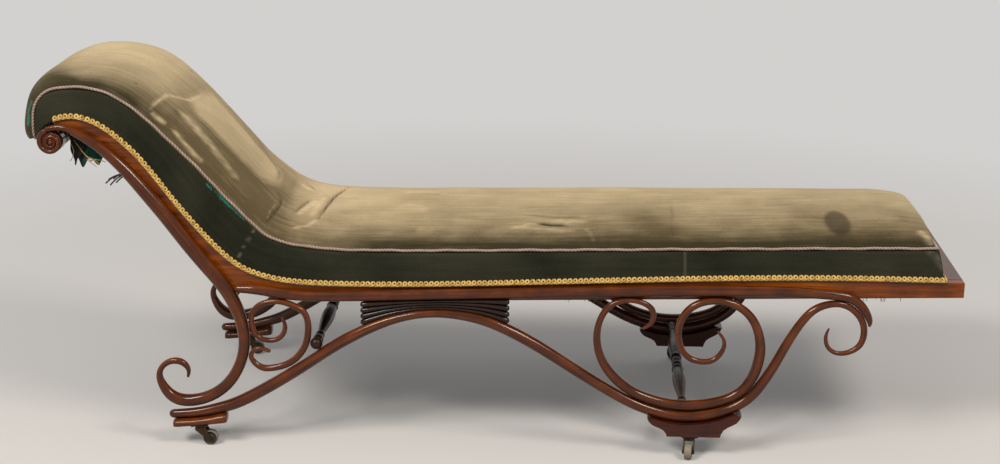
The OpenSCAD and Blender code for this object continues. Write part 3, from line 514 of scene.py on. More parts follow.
print("a head pad is", round(np.ptp(pad_x)), "mm long and", round(pad_high[12] - pad_low[12]), "mm high")

# %% [markdown]
# ## Casters
# The plates and horns are cast brass that has gone nearly black, and shows yellow only where
# it rubs. A metal keeps its default IOR and is fully metallic; the tarnish is a rough film
# over it, so the mask drives the roughness and the metallic value as well as the colour.

# %% Old brass
old_brass, tree = new_material("tarnished_brass")
spot = add(tree, "TexCoord").outputs["Object"]
blotch = add(tree, "TexNoise", {"Vector": spot, "Scale": 120.0, "Detail": 6.0, "Roughness": 0.65})
film = add(tree, "ValToRGB", {0: blotch}, [(0.42, 0.0), (0.62, 1.0)])
tint = add(tree, "Mix", {0: film, 6: linear("#4d3c25"), 7: linear("#1f1a15")}, data_type="RGBA")
dull = add(tree, "MapRange", {0: film, 3: 0.32, 4: 0.62})
bare = add(tree, "MapRange", {0: film, 3: 1.0, 4: 0.35})
pit = add(tree, "Bump", {"Height": blotch, "Strength": 0.5, "Distance": 0.0004})
coat = add(tree, "BsdfPrincipled", {"Base Color": tint.outputs[2], "Roughness": dull,
                                    "Metallic": bare, "Normal": pit})
add(tree, "OutputMaterial", {0: coat})
casters = [(end, side) for end in ("head", "foot") for side in ("near", "far")]
for end, side in casters:
    for kind, edge in (("plate", 0.3), ("horn", 0.5), ("axle", 0)):
        dressed(f"{kind}_{end}_{side}", old_brass, edge)
dressed("caster_screws", old_brass, 0)
print("brass on", 3 * len(casters) + 1, "nodes")

# %% [markdown]
# The wheels are small turned discs with a raised tread, pale where the floor has polished them
# and dark on their faces. They are rebuilt by turning an outline, so that `lay` can hold the
# distance from the axle, and the material can tell the tread from the face by it.

# %% Wheels
# Turned wood, worn dull: a matt surface, pale on the tread and dark on the faces
wheel_skin, tree = new_material("worn_wheel")
spot = add(tree, "Attribute", attribute_name="lay").outputs["Vector"]
far_out = add(tree, "SeparateXYZ", {0: spot}).outputs[0]
scuff = add(tree, "TexNoise", {"Vector": spot, "Scale": 260.0, "Detail": 5.0})
edge_of = add(tree, "Math", {0: scuff, 1: 0.004}, operation="MULTIPLY")
rim = add(tree, "Math", {0: far_out, 1: edge_of}, operation="ADD")
tread = add(tree, "MapRange", {0: rim, 1: 0.0158, 2: 0.0172})
face_tint = add(tree, "Mix", {0: scuff, 6: linear("#1f1b18"), 7: linear("#3a322a")}, data_type="RGBA")
tint = add(tree, "Mix", {0: tread, 6: face_tint.outputs[2], 7: linear("#8d8474")}, data_type="RGBA")
pit = add(tree, "Bump", {"Height": scuff, "Strength": 0.4, "Distance": 0.0003})
coat = add(tree, "BsdfPrincipled", {"Base Color": tint.outputs[2], "Normal": pit, "Roughness": 0.55})
add(tree, "OutputMaterial", {0: coat})
caster_x = {"head": place(-0.330, 1)[0], "foot": place(0.213, 1)[0]}
caster_turn = dict(zip(casters, (0, 8, -98, 112)))
wheel_r, trail = 16, 22
wheel_outline = [(8.0, 2.6), (8.1, 3.2), (8.1, 4.6), (7.6, 5.6), (5.6, 6.4), (5.3, 7.2), (5.3, 11.4),
                 (5.6, 12.2), (7.2, 13.2), (7.5, 13.8), (7.2, 15.0), (6.2, 15.6), (4.6, 15.9), (2.4, wheel_r)]
wheel_outline += [(-y, r) for y, r in wheel_outline[::-1]]
for end, side in casters:
    turn = math.radians(caster_turn[end, side])
    rings, _ = turned_rings(wheel_outline, 48, (0, 0), 0)
    points, faces = skin(np.vstack([rings, rings[:1]]), ends=False)
    lay = np.stack([np.hypot(points[:, 0], points[:, 2]), points[:, 1], points[:, 0]], axis=1)
    ahead, aside = trail + points[:, 0], points[:, 1]
    x = caster_x[end] + ahead * math.cos(turn) - aside * math.sin(turn)
    y = (rod_y if side == "far" else -rod_y) + ahead * math.sin(turn) + aside * math.cos(turn)
    piece(f"caster_wheel_{end}_{side}", np.stack([x, y, points[:, 2] + wheel_r], axis=1), faces, lay,
          wheel_skin, "caster_wheel", [f"wheel_{end}_{side}"], body=f"roller_{end}_{side}")
print("wheels are", 2 * wheel_r, "mm across")

# %% [markdown]
# ## The lie of the cloth
# The stuffed pad, its bands, the cord and the braid all follow two lines: the tack line, where
# cloth meets wood, and the piping line above it. Both are laid out once in even steps of about
# 9 mm, with the height of the stuffing and how far the far side has sunk, and every soft
# piece reads its rows from there.

# %% Rows of the upholstery
tack_shares = [[-0.490, 1.743], [-0.491, 1.779], [-0.487, 1.812], [-0.473, 1.848],
    [-0.453, 1.862], [-0.432, 1.837], [-0.410, 1.775], [-0.381, 1.654], [-0.351, 1.480],
    [-0.319, 1.316], [-0.288, 1.184], [-0.261, 1.126], [-0.224, 1.088], [-0.160, 1.073],
    [-0.061, 1.069], [0.111, 1.081], [0.324, 1.090], [0.479, 1.073]]
piping_shares = [[-0.496, 1.764], [-0.498, 1.804], [-0.495, 1.922], [-0.481, 1.982],
    [-0.458, 1.997], [-0.427, 1.984], [-0.397, 1.923], [-0.359, 1.779], [-0.324, 1.628],
    [-0.289, 1.466], [-0.266, 1.364], [-0.248, 1.301], [-0.217, 1.258], [-0.160, 1.234],
    [-0.060, 1.228], [0.113, 1.226], [0.319, 1.225], [0.472, 1.222]]
# How full the stuffing is at each row of the piping table, as a share of the crown's height
crown_shares = [0.50, 0.85, 0.85, 0.80, 0.85, 0.90, 1, 1, 1, 1, 1, 1, 1, 1, 1, 1, 1, 0.35]
# How many millimetres the stuffing of the far side has sunk at each row
far_sunk = [0, 0, 0, 0, 0, 6, 6, 8, 17, 21, 8, 2, 4, 2, 1, 3, 11, 17]
band_face, band_t, band_lean, piping_r, crown_h = 264.5, 8, 14, 4, 26
pad_half = band_face - band_t - 2 * seat_gap
piping_y = band_face - band_t / 2 - band_lean


class Rows:
    """The lines of the upholstery, in even steps along the piping."""

    def __init__(self, spacing):
        fine = 40
        piping, tack = bend(place_all(piping_shares), fine), bend(place_all(tack_shares), fine)
        run = run_of(piping)
        self.run = np.linspace(0, run[-1], round(run[-1] / spacing) + 1)
        self.row = np.interp(self.run, run, np.arange(len(run)) / fine)

        def even(values):
            return np.stack([np.interp(self.run, run, values[:, k]) for k in (0, 1)], axis=1)

        self.piping, self.tack, self.up = even(piping), even(tack), even(left_of(piping))
        self.up /= np.linalg.norm(self.up, axis=1)[:, None]
        way = self.piping - self.tack
        self.rise = np.linalg.norm(way, axis=1)
        self.toward = way / self.rise[:, None]
        facing = np.maximum(0.4, (self.toward * self.up).sum(1))
        self.top = self.rise - piping_r / facing
        whole = np.arange(len(crown_shares))
        self.crown = np.interp(self.row, whole, crown_shares)
        self.sunk = np.interp(self.row, whole, far_sunk)
        # At the foot the stuffing keeps its height and then turns down like a bolster
        near_end = np.clip((self.run[-1] - self.run) / 90, 0, 1)
        shoulder = 0.55 + 0.45 * np.sqrt(1 - (1 - near_end) ** 2)
        self.crown = np.where(self.row > 16, shoulder, self.crown)
        self.crown += 0.6 * np.clip(1 - self.row / 3, 0, 1)
        self.crown += 0.55 * np.clip((150 - self.run) / 80, 0, 1)
        # Over the roll the cover turns the edge more sharply
        self.power = np.interp(self.row, [0, 1, 2.5, 17], [9, 6, 4.5, 4.5])
        # The far corner of the foot end is worn down most
        self.sunk += 12 * (1 - near_end) ** 2


rows = Rows(9)
last = len(rows.run) - 1
print("the piping is", round(rows.run[-1]), "mm long, in", last, "steps")

# %% [markdown]
# ## Blowing up a stuffed piece
# A stuffed piece looks right when its cloth is stretched by what is inside. A crown could be
# drawn by formula alone, and for the start it is. Then the cloth solver pushes the cover out
# from inside for twenty steps, with its sewn edges pinned, and the move of each point is capped
# so that the piece keeps its size. Blender's cloth keeps the points in order, so `lay` survives.

# %% Cloth that swells
def swollen(made, free, pressure, cap, hold=0.0):
    """Cap and hold, in metres, are the most and the least that a point may move outward."""
    scene = bpy.context.scene
    pins = made.vertex_groups.new(name="sewn")
    for k in np.flatnonzero(free < 1):
        pins.add([int(k)], 1 - float(free[k]), "REPLACE")
    cloth = made.modifiers.new("cloth", "CLOTH")
    cloth.settings.vertex_group_mass = "sewn"
    cloth.settings.use_pressure = True
    cloth.settings.uniform_pressure_force = pressure
    cloth.settings.effector_weights.gravity = 0
    cloth.settings.quality = 6
    steps = 20
    cloth.point_cache.frame_end = steps
    was = numbers_of(made.data, "co")
    for step in range(1, steps + 1):
        scene.frame_set(step)
    shown = made.evaluated_get(bpy.context.evaluated_depsgraph_get())
    move = numbers_of(shown.data, "co") - was
    facing = numbers_of(made.data, "normal")
    out = (move * facing).sum(1)
    # The stuffing under the cloth holds it up, so the pull of the cloth can't sink it
    along = 0.3 * (move - facing * out[:, None]).clip(-cap, cap)
    move = along * (free > 0)[:, None] + facing * np.clip(out, hold, cap)[:, None]
    made.modifiers.remove(cloth)
    scene.frame_set(1)
    made.data.vertices.foreach_set("co", (was + move).ravel())
    print(made.name, "swelled by up to", round(float(np.abs(out).max()) * 1000, 1), "mm before the cap")


def refined(made):
    """Applies a subdivision, so that folds can then be pressed into the finer cloth."""
    finer = made.modifiers.new("finer", "SUBSURF")
    finer.levels = finer.render_levels = 1
    finer.boundary_smooth = "PRESERVE_CORNERS"
    shown = made.evaluated_get(bpy.context.evaluated_depsgraph_get())
    mesh = bpy.data.meshes.new_from_object(shown)
    made.modifiers.remove(finer)
    made.data = mesh
    mesh.shade_smooth()


def places_on(mesh):
    """Where each point of a cloth lies: millimetres along it and millimetres across it."""
    values = np.zeros(len(mesh.vertices) * 3)
    mesh.attributes["lay"].data.foreach_get("vector", values)
    return values.reshape(-1, 3)[:, :2] * 1000


def numbers_of(mesh, kind):
    """The places (co) or the normals of a mesh's points, as rows of three numbers."""
    values = np.zeros(len(mesh.vertices) * 3)
    mesh.vertices.foreach_get(kind, values)
    return values.reshape(-1, 3)


def stroke(points, line, half_width, fade=0.0):
    """1 on a line of points and 0 past its half width; fade is the share of it that thins out."""
    line = np.array(line, float)
    far_along = run_of(line)
    total = max(far_along[-1], 1e-9)
    best = np.zeros(len(points))
    for k, (a, b) in enumerate(zip(line[:-1], line[1:])):
        t = np.clip(((points - a) @ (b - a)) / max((b - a) @ (b - a), 1e-9), 0, 1)
        near = 1 - np.linalg.norm(points - a - t[:, None] * (b - a), axis=1) / half_width
        if fade:
            share = (far_along[k] + t * np.linalg.norm(b - a)) / total
            near = near - 0.9 * np.clip(1 - np.minimum(share, 1 - share) / fade, 0, 1)
        best = np.maximum(best, near)
    return best


def paint(mesh, columns):
    data = np.clip(np.stack(columns, axis=1), 0, 1)
    mesh.attributes.new("wear_and_light", "FLOAT_COLOR", "POINT").data.foreach_set("color", data.ravel())


print("cloth is", "simulated")

# %% [markdown]
# ## The worn velvet
# Cotton velvet is a short upright pile on a woven ground. New, it was dark green; light and
# use have bleached the top to an olive straw colour, and the old green is left near the
# piping. Four kinds of mark are painted on the points of the cloth as a colour: red is
# bleaching, with painted light on the pad; green is kept colour, with painted shade along the
# pad's near edge; blue is a stain, with painted shade in the pad's creases; and alpha is pile
# worn to its teal ground. The pile itself is a sheen, brightest at a glancing angle.

# %% Velvet
def velvet(name, main, pale_wear_and_light, kept_green_and_shade, stain, ground, sheen):
    made, tree = new_material(name)
    lay = add(tree, "Attribute", attribute_name="lay").outputs["Vector"]
    wear_and_light = add(tree, "Attribute", attribute_name="wear_and_light")
    part = add(tree, "SeparateColor", {0: wear_and_light.outputs["Color"]})
    # Streaks of flattened pile lie along the couch, about 10 mm wide and 140 mm long
    combed = add(tree, "Mapping", {0: lay, 3: (7, 95, 95)}).outputs[0]
    streak = add(tree, "TexNoise", {"Vector": combed, "Scale": 1.0, "Detail": 4.0, "Roughness": 0.6})
    cloud = add(tree, "TexNoise", {"Vector": lay, "Scale": 14.0, "Detail": 4.0, "Roughness": 0.6})
    # Tufts are 0.5 mm apart on real velvet, and are drawn 3 mm apart so that they show
    tuft = add(tree, "TexNoise", {"Vector": lay, "Scale": 330.0, "Detail": 3.0, "Roughness": 0.7})
    shift = add(tree, "Math", {0: streak, 1: cloud, 2: -0.5}, operation="ADD")
    sway = add(tree, "MapRange", {0: shift, 1: 0.65, 2: 1.35, 3: -0.17, 4: 0.17})
    more = add(tree, "Math", {0: part.outputs[0], 1: sway}, operation="ADD", use_clamp=True)
    # Red moves the colour to the pale one: bleached pile, and on the pad painted light as well
    top = add(tree, "Mix", {0: more, 6: linear(main), 7: linear(pale_wear_and_light)}, data_type="RGBA")
    # Green moves it to the dark kept colour: unfaded green, and on the pad painted shade as well
    hold = add(tree, "Math", {0: part.outputs[1], 1: sway}, operation="SUBTRACT", use_clamp=True)
    held = add(tree, "Math", {0: hold, 1: part.outputs[1]}, operation="MULTIPLY")
    dark = add(tree, "Mix", {0: held, 6: top.outputs[2], 7: linear(kept_green_and_shade)}, data_type="RGBA")
    # Blue lays in the stain colour: stains and seams, and on the pad painted shade in the creases
    spot = add(tree, "Mix", {0: part.outputs[2], 6: dark.outputs[2], 7: linear(stain)}, data_type="RGBA")
    ply = add(tree, "MapRange", {0: tuft, 1: 0.35, 2: 0.65, 3: 0.78, 4: 1.16})
    fine = add(tree, "VectorMath", {0: spot.outputs[2], 3: ply}, operation="SCALE")
    frayed = add(tree, "Math", {0: wear_and_light.outputs["Alpha"], 1: tuft}, operation="MULTIPLY")
    bare = add(tree, "MapRange", {0: frayed, 1: 0.26, 2: 0.36})
    all_over = add(tree, "Mix", {0: bare, 6: fine, 7: linear(ground)}, data_type="RGBA")
    nap = add(tree, "Math", {0: streak, 1: 0.3, 2: tuft}, operation="MULTIPLY_ADD")
    rough = add(tree, "Bump", {"Height": nap, "Strength": 0.5, "Distance": 0.0007})
    cover = add(tree, "BsdfPrincipled", {"Base Color": all_over.outputs[2], "Normal": rough,
                                         "Roughness": 0.95, "Specular IOR Level": 0.15,
                                         "Sheen Weight": sheen, "Sheen Roughness": 0.35,
                                         "Sheen Tint": linear("#ecd9b4")})
    add(tree, "OutputMaterial", {0: cover})
    return made


top_velvet = velvet("bleached_cotton_velvet", "#6b5c40", "#e2cca4", "#37311f", "#352b1c", "#1f7a68", 0.38)
band_velvet = velvet("dark_cotton_velvet", "#191b12", "#403f31", "#12190f", "#8d8a78", "#1f7a68", 0.05)
print("velvets:", top_velvet.name, band_velvet.name)

# %% [markdown]
# ## The stuffed pad
# One long cushion runs from under the roll to the foot end. It is horsehair under canvas, hard
# at the edges and crowned in the middle. Each row is a closed loop: the flat underside, the two
# sides, and the crown, which is steeper near the piping. The crown starts 6 mm low, and the
# cloth solver brings it up.

# %% Pad loops
side_columns, top_columns, low_columns = 5, 57, 10
start_low = 6


def pad_loop(k):
    up, sunk = rows.up[k], rows.sunk[k]
    s = np.linspace(-1, 1, top_columns)
    lift = crown_h * rows.crown[k] * (1 - np.abs(s) ** rows.power[k]) - start_low * (1 - s ** 2)
    lift -= np.where(s > 0, sunk * s ** 2, 0)
    top = np.stack([rows.piping[k, 0] + up[0] * lift, (pad_half - band_lean) * s,
                    rows.piping[k, 1] + up[1] * lift], axis=1)
    share = np.linspace(0, 1, side_columns, endpoint=False)
    lifts = seat_gap + (rows.top[k] - seat_gap) * share
    inward = band_lean * share + 7 * np.sin(math.pi * share * 0.85)
    flank = rows.tack[k] + rows.toward[k] * lifts[:, None]
    near = np.stack([flank[:, 0], -(pad_half - inward), flank[:, 1]], axis=1)
    far = near[::-1] * (1, -1, 1)
    drop = rows.up[k] * (sunk * share[::-1])[:, None]
    far[:, [0, 2]] -= drop
    low = np.stack([np.full(low_columns, flank[0, 0]),
                    np.linspace(pad_half, -pad_half, low_columns + 2)[1:-1],
                    np.full(low_columns, flank[0, 1])], axis=1)
    loop = np.vstack([near, top, far, low])
    if k == last:
        loop[:, 0] -= band_t + seat_gap
    return loop


loops = np.array([pad_loop(k) for k in range(last + 1)])
width = loops.shape[1]
top_y = loops[0, side_columns:side_columns + top_columns, 1]
across = np.r_[np.linspace(-330, -255, side_columns, endpoint=False), top_y,
               np.linspace(255, 330, side_columns), np.zeros(low_columns)]


def closed_in(loop, shares):
    middle = loop.mean(0)
    return [middle + (loop - middle) * s for s in shares]


head_in, foot_in = closed_in(loops[0], (0.2, 0.5, 0.8)), closed_in(loops[-1], (0.85, 0.6, 0.35, 0.12))
rings = np.array([*head_in, *loops, *foot_in])
runs = np.r_[np.full(3, 0), rows.run, np.full(4, rows.run[-1])]
lays = np.stack([np.repeat(runs[:, None], width, 1), np.repeat(across[None], len(rings), 0),
                 np.zeros(rings.shape[:2])], axis=2)
points, faces = skin(rings)
pad = piece("stuffed_pad", points, faces, lays.reshape(-1, 3), top_velvet, "velvet_top", ["seat_pad"])
column = np.tile(np.arange(width), len(rings))
ring = np.repeat(np.arange(len(rings)), width)
s = (column - side_columns) / (top_columns - 1) * 2 - 1
free = np.where(np.abs(s) < 1, np.clip((1 - np.abs(s)) * 8, 0, 1), 0)
free *= np.clip((ring - 3) / 4, 0, 1) * np.clip((len(rings) - 5 - ring) / 3, 0, 1)
hold = np.where(np.abs(s) < 1, start_low * (1 - s ** 2), 0) * (ring > 2) * (ring < len(rings) - 4)
swollen(pad, free, 4.0, 0.010, hold / 1000)
refined(pad)
print("the pad has", len(pad.data.vertices), "points")

# %% [markdown]
# The folds and the wear are pressed and painted into the finished cloth. Each has its place in
# `lay`: millimetres along the piping from the head, and millimetres from the middle, with the
# near side negative. Long soft lumps come from old stuffing, the seam where the back meets the
# seat is a narrow groove, and the bleaching follows what people touch. Light and shade are
# painted in too: the far side of the top paler and the near side darker, a highlight over the
# roll and on raised folds, and shade in the creases.

# %% Folds, wear and painted light of the pad
def lumps(points, sizes):
    """A smooth field of about -1 to 1 from a few crossing waves, the same on each run."""
    total = np.zeros(len(points))
    for number, size in enumerate(sizes):
        turn = 1.7 * number + 0.6
        u = points[:, 0] * math.cos(turn) + points[:, 1] * math.sin(turn)
        v = points[:, 1] * math.cos(turn * 1.3) - points[:, 0] * math.sin(turn * 1.3)
        total += np.sin(u / size + 2.1 * number + 1.3 * np.sin(v / size * 0.7))
    return total / len(sizes)


mesh = pad.data
spots, outward = numbers_of(mesh, "co"), numbers_of(mesh, "normal")
at = places_on(mesh)
on_top = np.clip((236 - np.abs(at[:, 1])) / 25, 0, 1) * (at[:, 0] > 5)
press = 1.1 * lumps(at, (38, 55, 31)) * on_top
spots += outward * (press / 1000)[:, None]


def patch(points, outline, blur):
    """1 inside an outline on the cloth, 0 outside, and soft over the blur between."""
    outline = np.array(outline, float)
    inside = np.zeros(len(points), bool)
    for a, b in zip(outline, np.roll(outline, -1, axis=0)):
        across_it = (a[1] > points[:, 1]) != (b[1] > points[:, 1])
        meets = (b[0] - a[0]) * (points[:, 1] - a[1]) / (b[1] - a[1] + 1e-9) + a[0]
        inside ^= across_it & (points[:, 0] < meets)
    edge = 1 - stroke(points, [*outline, outline[0]], blur)
    return np.where(inside, 0.5 + edge / 2, 0.5 - edge / 2)


# Each fold: how far it stands out in mm, its half width, its tint (pale above 0: worn pile,
# with a painted highlight where the fold stands out; dark below: painted shade in the crease),
# and its places
folds = [
    (-1.8, 6, 0.7, [(318, -228), (318, -181), (322, -105), (342, -75), (361, -44), (373, 60)]),
    (-2.2, 8, -0.45, [(361, -44), (396, -79), (432, -85), (475, -89), (529, -93), (585, -81), (617, -32)]),
    (-1.8, 7, -0.5, [(392, 120), (500, 101), (608, 49), (617, -32)]),
    (1.0, 24, 0.85, [(352, -128), (394, -136), (437, -146), (485, -160), (560, -178)]),
    (0.3, 13, 0.9, [(325, -221), (344, -218), (365, -214)]),
    (0.3, 12, 0.9, [(373, -212), (422, -221), (475, -223)]),
    (-1.0, 6, -0.45, [(403, 192), (439, 181), (527, 132), (614, 32)]),
    (-2.6, 8, -0.8, [(612, -58), (647, -82), (653, -115), (649, -207), (655, -235)]),
    (0.6, 5, 0.5, [(641, -115), (640, -175), (648, -222)]),
    (-0.5, 6, -0.9, [(263, -165), (269, -158)]),
    (-0.5, 6, -0.9, [(315, 140), (325, 158)]),
    (-5.5, 9, -1.0, [(781, 200), (761, 37), (756, -40), (752, -110), (748, -150)]),
    (2.0, 11, 0.4, [(744, 37), (738, -60), (735, -120)]),
    (0.8, 8, 0.5, [(752, -120), (737, -169), (704, -196)]),
    (-3.5, 9, -0.7, [(682, 120), (700, 100), (713, 80)]),
    (1.5, 10, 0.5, [(672, 95), (692, 70), (708, 58)]),
    (-4.0, 9, -0.65, [(717, 12), (701, -74), (692, -120)]),
    (1.8, 10, 0.55, [(731, 5), (716, -74), (703, -128)]),
    (-4.5, 22, -0.4, [(905, 100), (956, 125), (1010, 80)]),
    (1.5, 42, 0.22, [(914, -2), (950, -19), (986, -50)]),
    (-4.5, 20, -0.4, [(1195, -112), (1242, -136), (1292, -142)]),
    (0, 26, -0.75, [(1205, -128), (1245, -138), (1285, -140)]),
    (1.4, 12, 0.35, [(1150, -150), (1200, -162), (1262, -172), (1300, -178)]),
    (-1.5, 9, -0.3, [(1160, -172), (1215, -186), (1290, -192)]),
    (-3.2, 12, -0.5, [(1165, -72), (1251, -98), (1335, -100)]),
    (2.2, 13, 0.35, [(1166, -161), (1215, -128), (1270, -121), (1330, -127)]),
    (0.3, 7, 0.3, [(1315, -160), (1326, -185), (1334, -222)]),
    (0.3, 30, 0.2, [(963, -166), (1005, -170)]),
    (-1.2, 6, -0.3, [(1503, 30), (1496, -127), (1494, -215)]),
    (-0.4, 5, -0.5, [(1680, -24), (1780, -14)]),
    (-0.3, 4, -0.35, [(1720, 30), (1850, 34)]),
    (0, 18, 0.6, [(1996, -170), (2010, -205), (2014, -238)]),
]
# Painted light: the far side of the top is painted paler and the near side darker, as the light falls across
# the crown
painted_light_across = np.clip(at[:, 1] / 240, -1, 1)
# Bleaching along the pad, palest over the top of the roll, where it is bleached pile with a painted highlight
# on it
bleach_and_light = np.interp(at[:, 0], [0, 60, 130, 300, 360, 640, 720, 1400, 2020],
                   [0.1, 0.25, 0.85, 0.66, 0.32, 0.26, 0.64, 0.6, 0.55])
bleach_and_light += 0.10 * lumps(at, (90, 140, 60)) + 0.06 * lumps(at, (33, 21, 47)) + 0.25 * painted_light_across
# Painted shade: the near half of the top is darker still
bleach_and_light -= 0.2 * np.clip((20 - at[:, 1]) / 230, 0, 1)
# The pile kept its dark green near the near piping, and painted shade darkens the near edge's rounding there
# as well
near_edge_green_and_shade = np.clip((-at[:, 1] - 65) / 160, 0, 1)
kept_green_and_shade = near_edge_green_and_shade ** 1.9 * np.interp(at[:, 0], [290, 380, 760, 880], [1, 0.5, 0.5, 1])
kept_green_and_shade += 0.9 * np.clip((175 - at[:, 0]) / 120, 0, 1) * np.clip((60 - at[:, 1]) / 200, 0, 1)
bleach_and_light += 0.55 * patch(at, [(361, -44), (373, 73), (385, 125), (500, 101), (608, 49), (617, -32),
                           (585, -81), (529, -93), (475, -89), (432, -85), (396, -79)], 14)
bleach_and_light -= 0.2 * patch(at, [(1380, -225), (1380, 20), (1496, 20), (1496, -225)], 70)
bleach_and_light += 0.15 * patch(at, [(640, -150), (640, 230), (900, 230), (900, -150)], 90)
oval = np.hypot((at[:, 0] - 1836) / 26, (at[:, 1] + 138) / 66)
stain = 0.72 * np.clip((1.15 - oval) / 0.3, 0, 1)
for rise, half_width, tint, places in folds:
    near = stroke(at, places, half_width, 0.12)
    spots += outward * (rise / 1000 * near * near * (3 - 2 * near))[:, None]
    # The pale tint is worn pile, and on a raised fold a painted highlight too
    ridge_wear_and_highlight = max(tint, 0) * near * (0.75 + 0.25 * lumps(at, (5.1, 3.7)))
    bleach_and_light += ridge_wear_and_highlight
    kept_green_and_shade *= 1 - ridge_wear_and_highlight
    # The dark tint is painted shade along the crease, laid in through the stain channel
    stain += max(-tint, 0) * stroke(at, places, 0.6 * half_width, 0.25) * (stain < 0.4)
frayed = 0.5 + 0.5 * lumps(at, (4.3, 6.1, 2.7))
teal = (0.45 + 0.6 * frayed) * stroke(at, [(8, -222), (50, -218), (84, -224)], 22, 0.2)
mesh.vertices.foreach_set("co", spots.ravel())
paint(mesh, (bleach_and_light, kept_green_and_shade, stain, teal))
print("lumps move the cloth by up to", round(float(np.abs(press).max()), 1), "mm")

# %% [markdown]
# ## The dark bands
# A band of dark velvet, hardly faded, covers each side between the braid and the cord, and one
# closes the foot end. It leans in a little towards the top over its thin padding.

# %% Side bands
def band_loops(side):
    share = np.linspace(0, 1, 9)
    belly = 1.5 * np.sin(math.pi * share)
    loops = []
    for k in range(last + 1):
        sunk = rows.sunk[k] if side == "far" else 0
        face = rows.tack[k] + rows.toward[k] * (seat_gap + (rows.top[k] - seat_gap) * share)[:, None]
        face = face - rows.up[k] * (sunk * share ** 2)[:, None]
        y = -band_face + band_lean * share - belly
        inner = [0, 4, 8]
        loops.append(np.vstack([np.column_stack([face[:, 0], y, face[:, 1]]),
                                np.column_stack([face[inner[::-1], 0], (y + belly)[inner[::-1]] + band_t,
                                                 face[inner[::-1], 1]])]))
    return np.array(loops), np.r_[share, share[inner[::-1]]]


def padded_band(name, points, faces, lays, node):
    """Makes a band, swells it between its sewn edges, and gives the places on its finer cloth."""
    band = piece(name, points, faces, lays.reshape(-1, 3), band_velvet, "band_velvet", [node])
    inner_edge = np.tile(np.r_[0, np.ones(7), 0, 0, 0, 0], len(points) // 12)
    swollen(band, inner_edge, 3.0, 0.0025)
    refined(band)
    return band, places_on(band.data)


for side in ("near", "far"):
    loops, share = band_loops(side)
    lift = rows.rise[:, None] * share[None]
    lays = np.stack([np.repeat(rows.run[:, None], loops.shape[1], 1), lift, np.zeros(lift.shape)], axis=2)
    points, faces = skin(loops)
    band, at = padded_band(f"velvet_band_{side}", mirrored(points, side), faces, lays, f"side_band_{side}")
    dust = 0.35 + 0.3 * lumps(at, (60, 110, 35))
    frayed = 0.5 + 0.5 * lumps(at, (4.3, 6.1, 2.7))
    seam = 0.22 * stroke(at, [(1517, 2), (1517, 66)], 3.2)
    seam += 0.4 * stroke(at, [(630, 12), (631, 52), (635, 88)], 3.5) * (np.sin(at[:, 1] / 3.2) > -0.1)
    seam += 0.5 * stroke(at, [(2006, 66), (2018, 53), (2023, 32)], 12) * frayed
    teal = (0.55 + 0.6 * frayed) * stroke(at, [(478, 82), (513, 84), (555, 88), (594, 91), (623, 92)], 9, 0.2)
    paint(band.data, (dust, np.zeros(len(at)), seam, teal))
print("a band is", round(float(rows.rise.min())), "to", round(float(rows.rise.max())), "mm high")

# %% Foot band
foot_low, foot_high = rows.tack[-1] + rows.toward[-1] * seat_gap, rows.piping[-1] - rows.toward[-1] * 4.3
share = np.linspace(0, 1, 9)
belly = 1.5 * np.sin(math.pi * share)
columns = np.linspace(-1, 1, 49)
grid = []
for c in columns:
    high = foot_high - rows.up[-1] * rows.sunk[-1] * max(c, 0) ** 2
    line = foot_low + (high - foot_low) * share[:, None]
    y = c * (pad_half - band_lean * share)
    outer = np.column_stack([line[:, 0] + belly, y, line[:, 1]])
    inner = np.column_stack([line[::-4, 0] - band_t, y[::-4], line[::-4, 1]])
    grid.append(np.vstack([outer, inner]))
grid = np.array(grid)
lays = np.stack([grid[..., 1] + 3000, grid[..., 2] - foot_low[1], grid[..., 0] * 0], axis=2)
points, faces = skin(grid)
band, at = padded_band("velvet_band_foot", points, faces, lays, "foot_band")
nothing = np.zeros(len(at))
paint(band.data, (0.4 + 0.3 * lumps(at, (60, 110, 35)), nothing, nothing, nothing))
print("the foot band is", round(2 * pad_half), "mm wide")

# %% [markdown]
# ## The cord and the gimp braid
# A thin cord, faded to a dusty pink, is sewn along the edge between the top and the bands. It
# is two strands twisted together, which the shader shows as a slanting ridge, with painted shade
# in the groove between the strands and a painted highlight on the crests: the angle round the
# cord and the distance along it both come from `lay`.

# %% Cord
# Cotton is matt, and its loose fibres give it a faint pale edge
cord_skin, tree = new_material("faded_cotton_cord")
lay = add(tree, "Attribute", attribute_name="lay").outputs["Vector"]
part = add(tree, "SeparateXYZ", {0: lay})
turn = add(tree, "Math", {0: part.outputs[1], 1: part.outputs[2]}, operation="ARCTAN2")
# One full twist of the two strands every 14 mm
travel = add(tree, "Math", {0: part.outputs[0], 1: 2 * math.pi / 0.014}, operation="MULTIPLY")
phase = add(tree, "Math", {0: turn, 1: travel}, operation="ADD")
twice = add(tree, "Math", {0: phase, 1: 2.0}, operation="MULTIPLY")
ridge = add(tree, "Math", {0: twice}, operation="SINE")
dirt = add(tree, "TexNoise", {"Vector": lay, "Scale": 40.0, "Detail": 4.0})
# Painted shade and highlight: the groove between the strands is painted dark and the crest pale
painted_twist_shade = add(tree, "MapRange", {0: ridge, 1: -1.0, 2: 1.0, 3: 0.15, 4: 0.85})
mixed = add(tree, "Math", {0: painted_twist_shade, 1: dirt}, operation="MULTIPLY")
tint = add(tree, "Mix", {0: mixed, 6: linear("#8a7263"), 7: linear("#e6cdbf")}, data_type="RGBA")
rise = add(tree, "Bump", {"Height": ridge, "Strength": 0.6, "Distance": 0.0008})
coat = add(tree, "BsdfPrincipled", {"Base Color": tint.outputs[2], "Normal": rise, "Roughness": 0.9,
                                    "Sheen Weight": 0.2})
add(tree, "OutputMaterial", {0: coat})


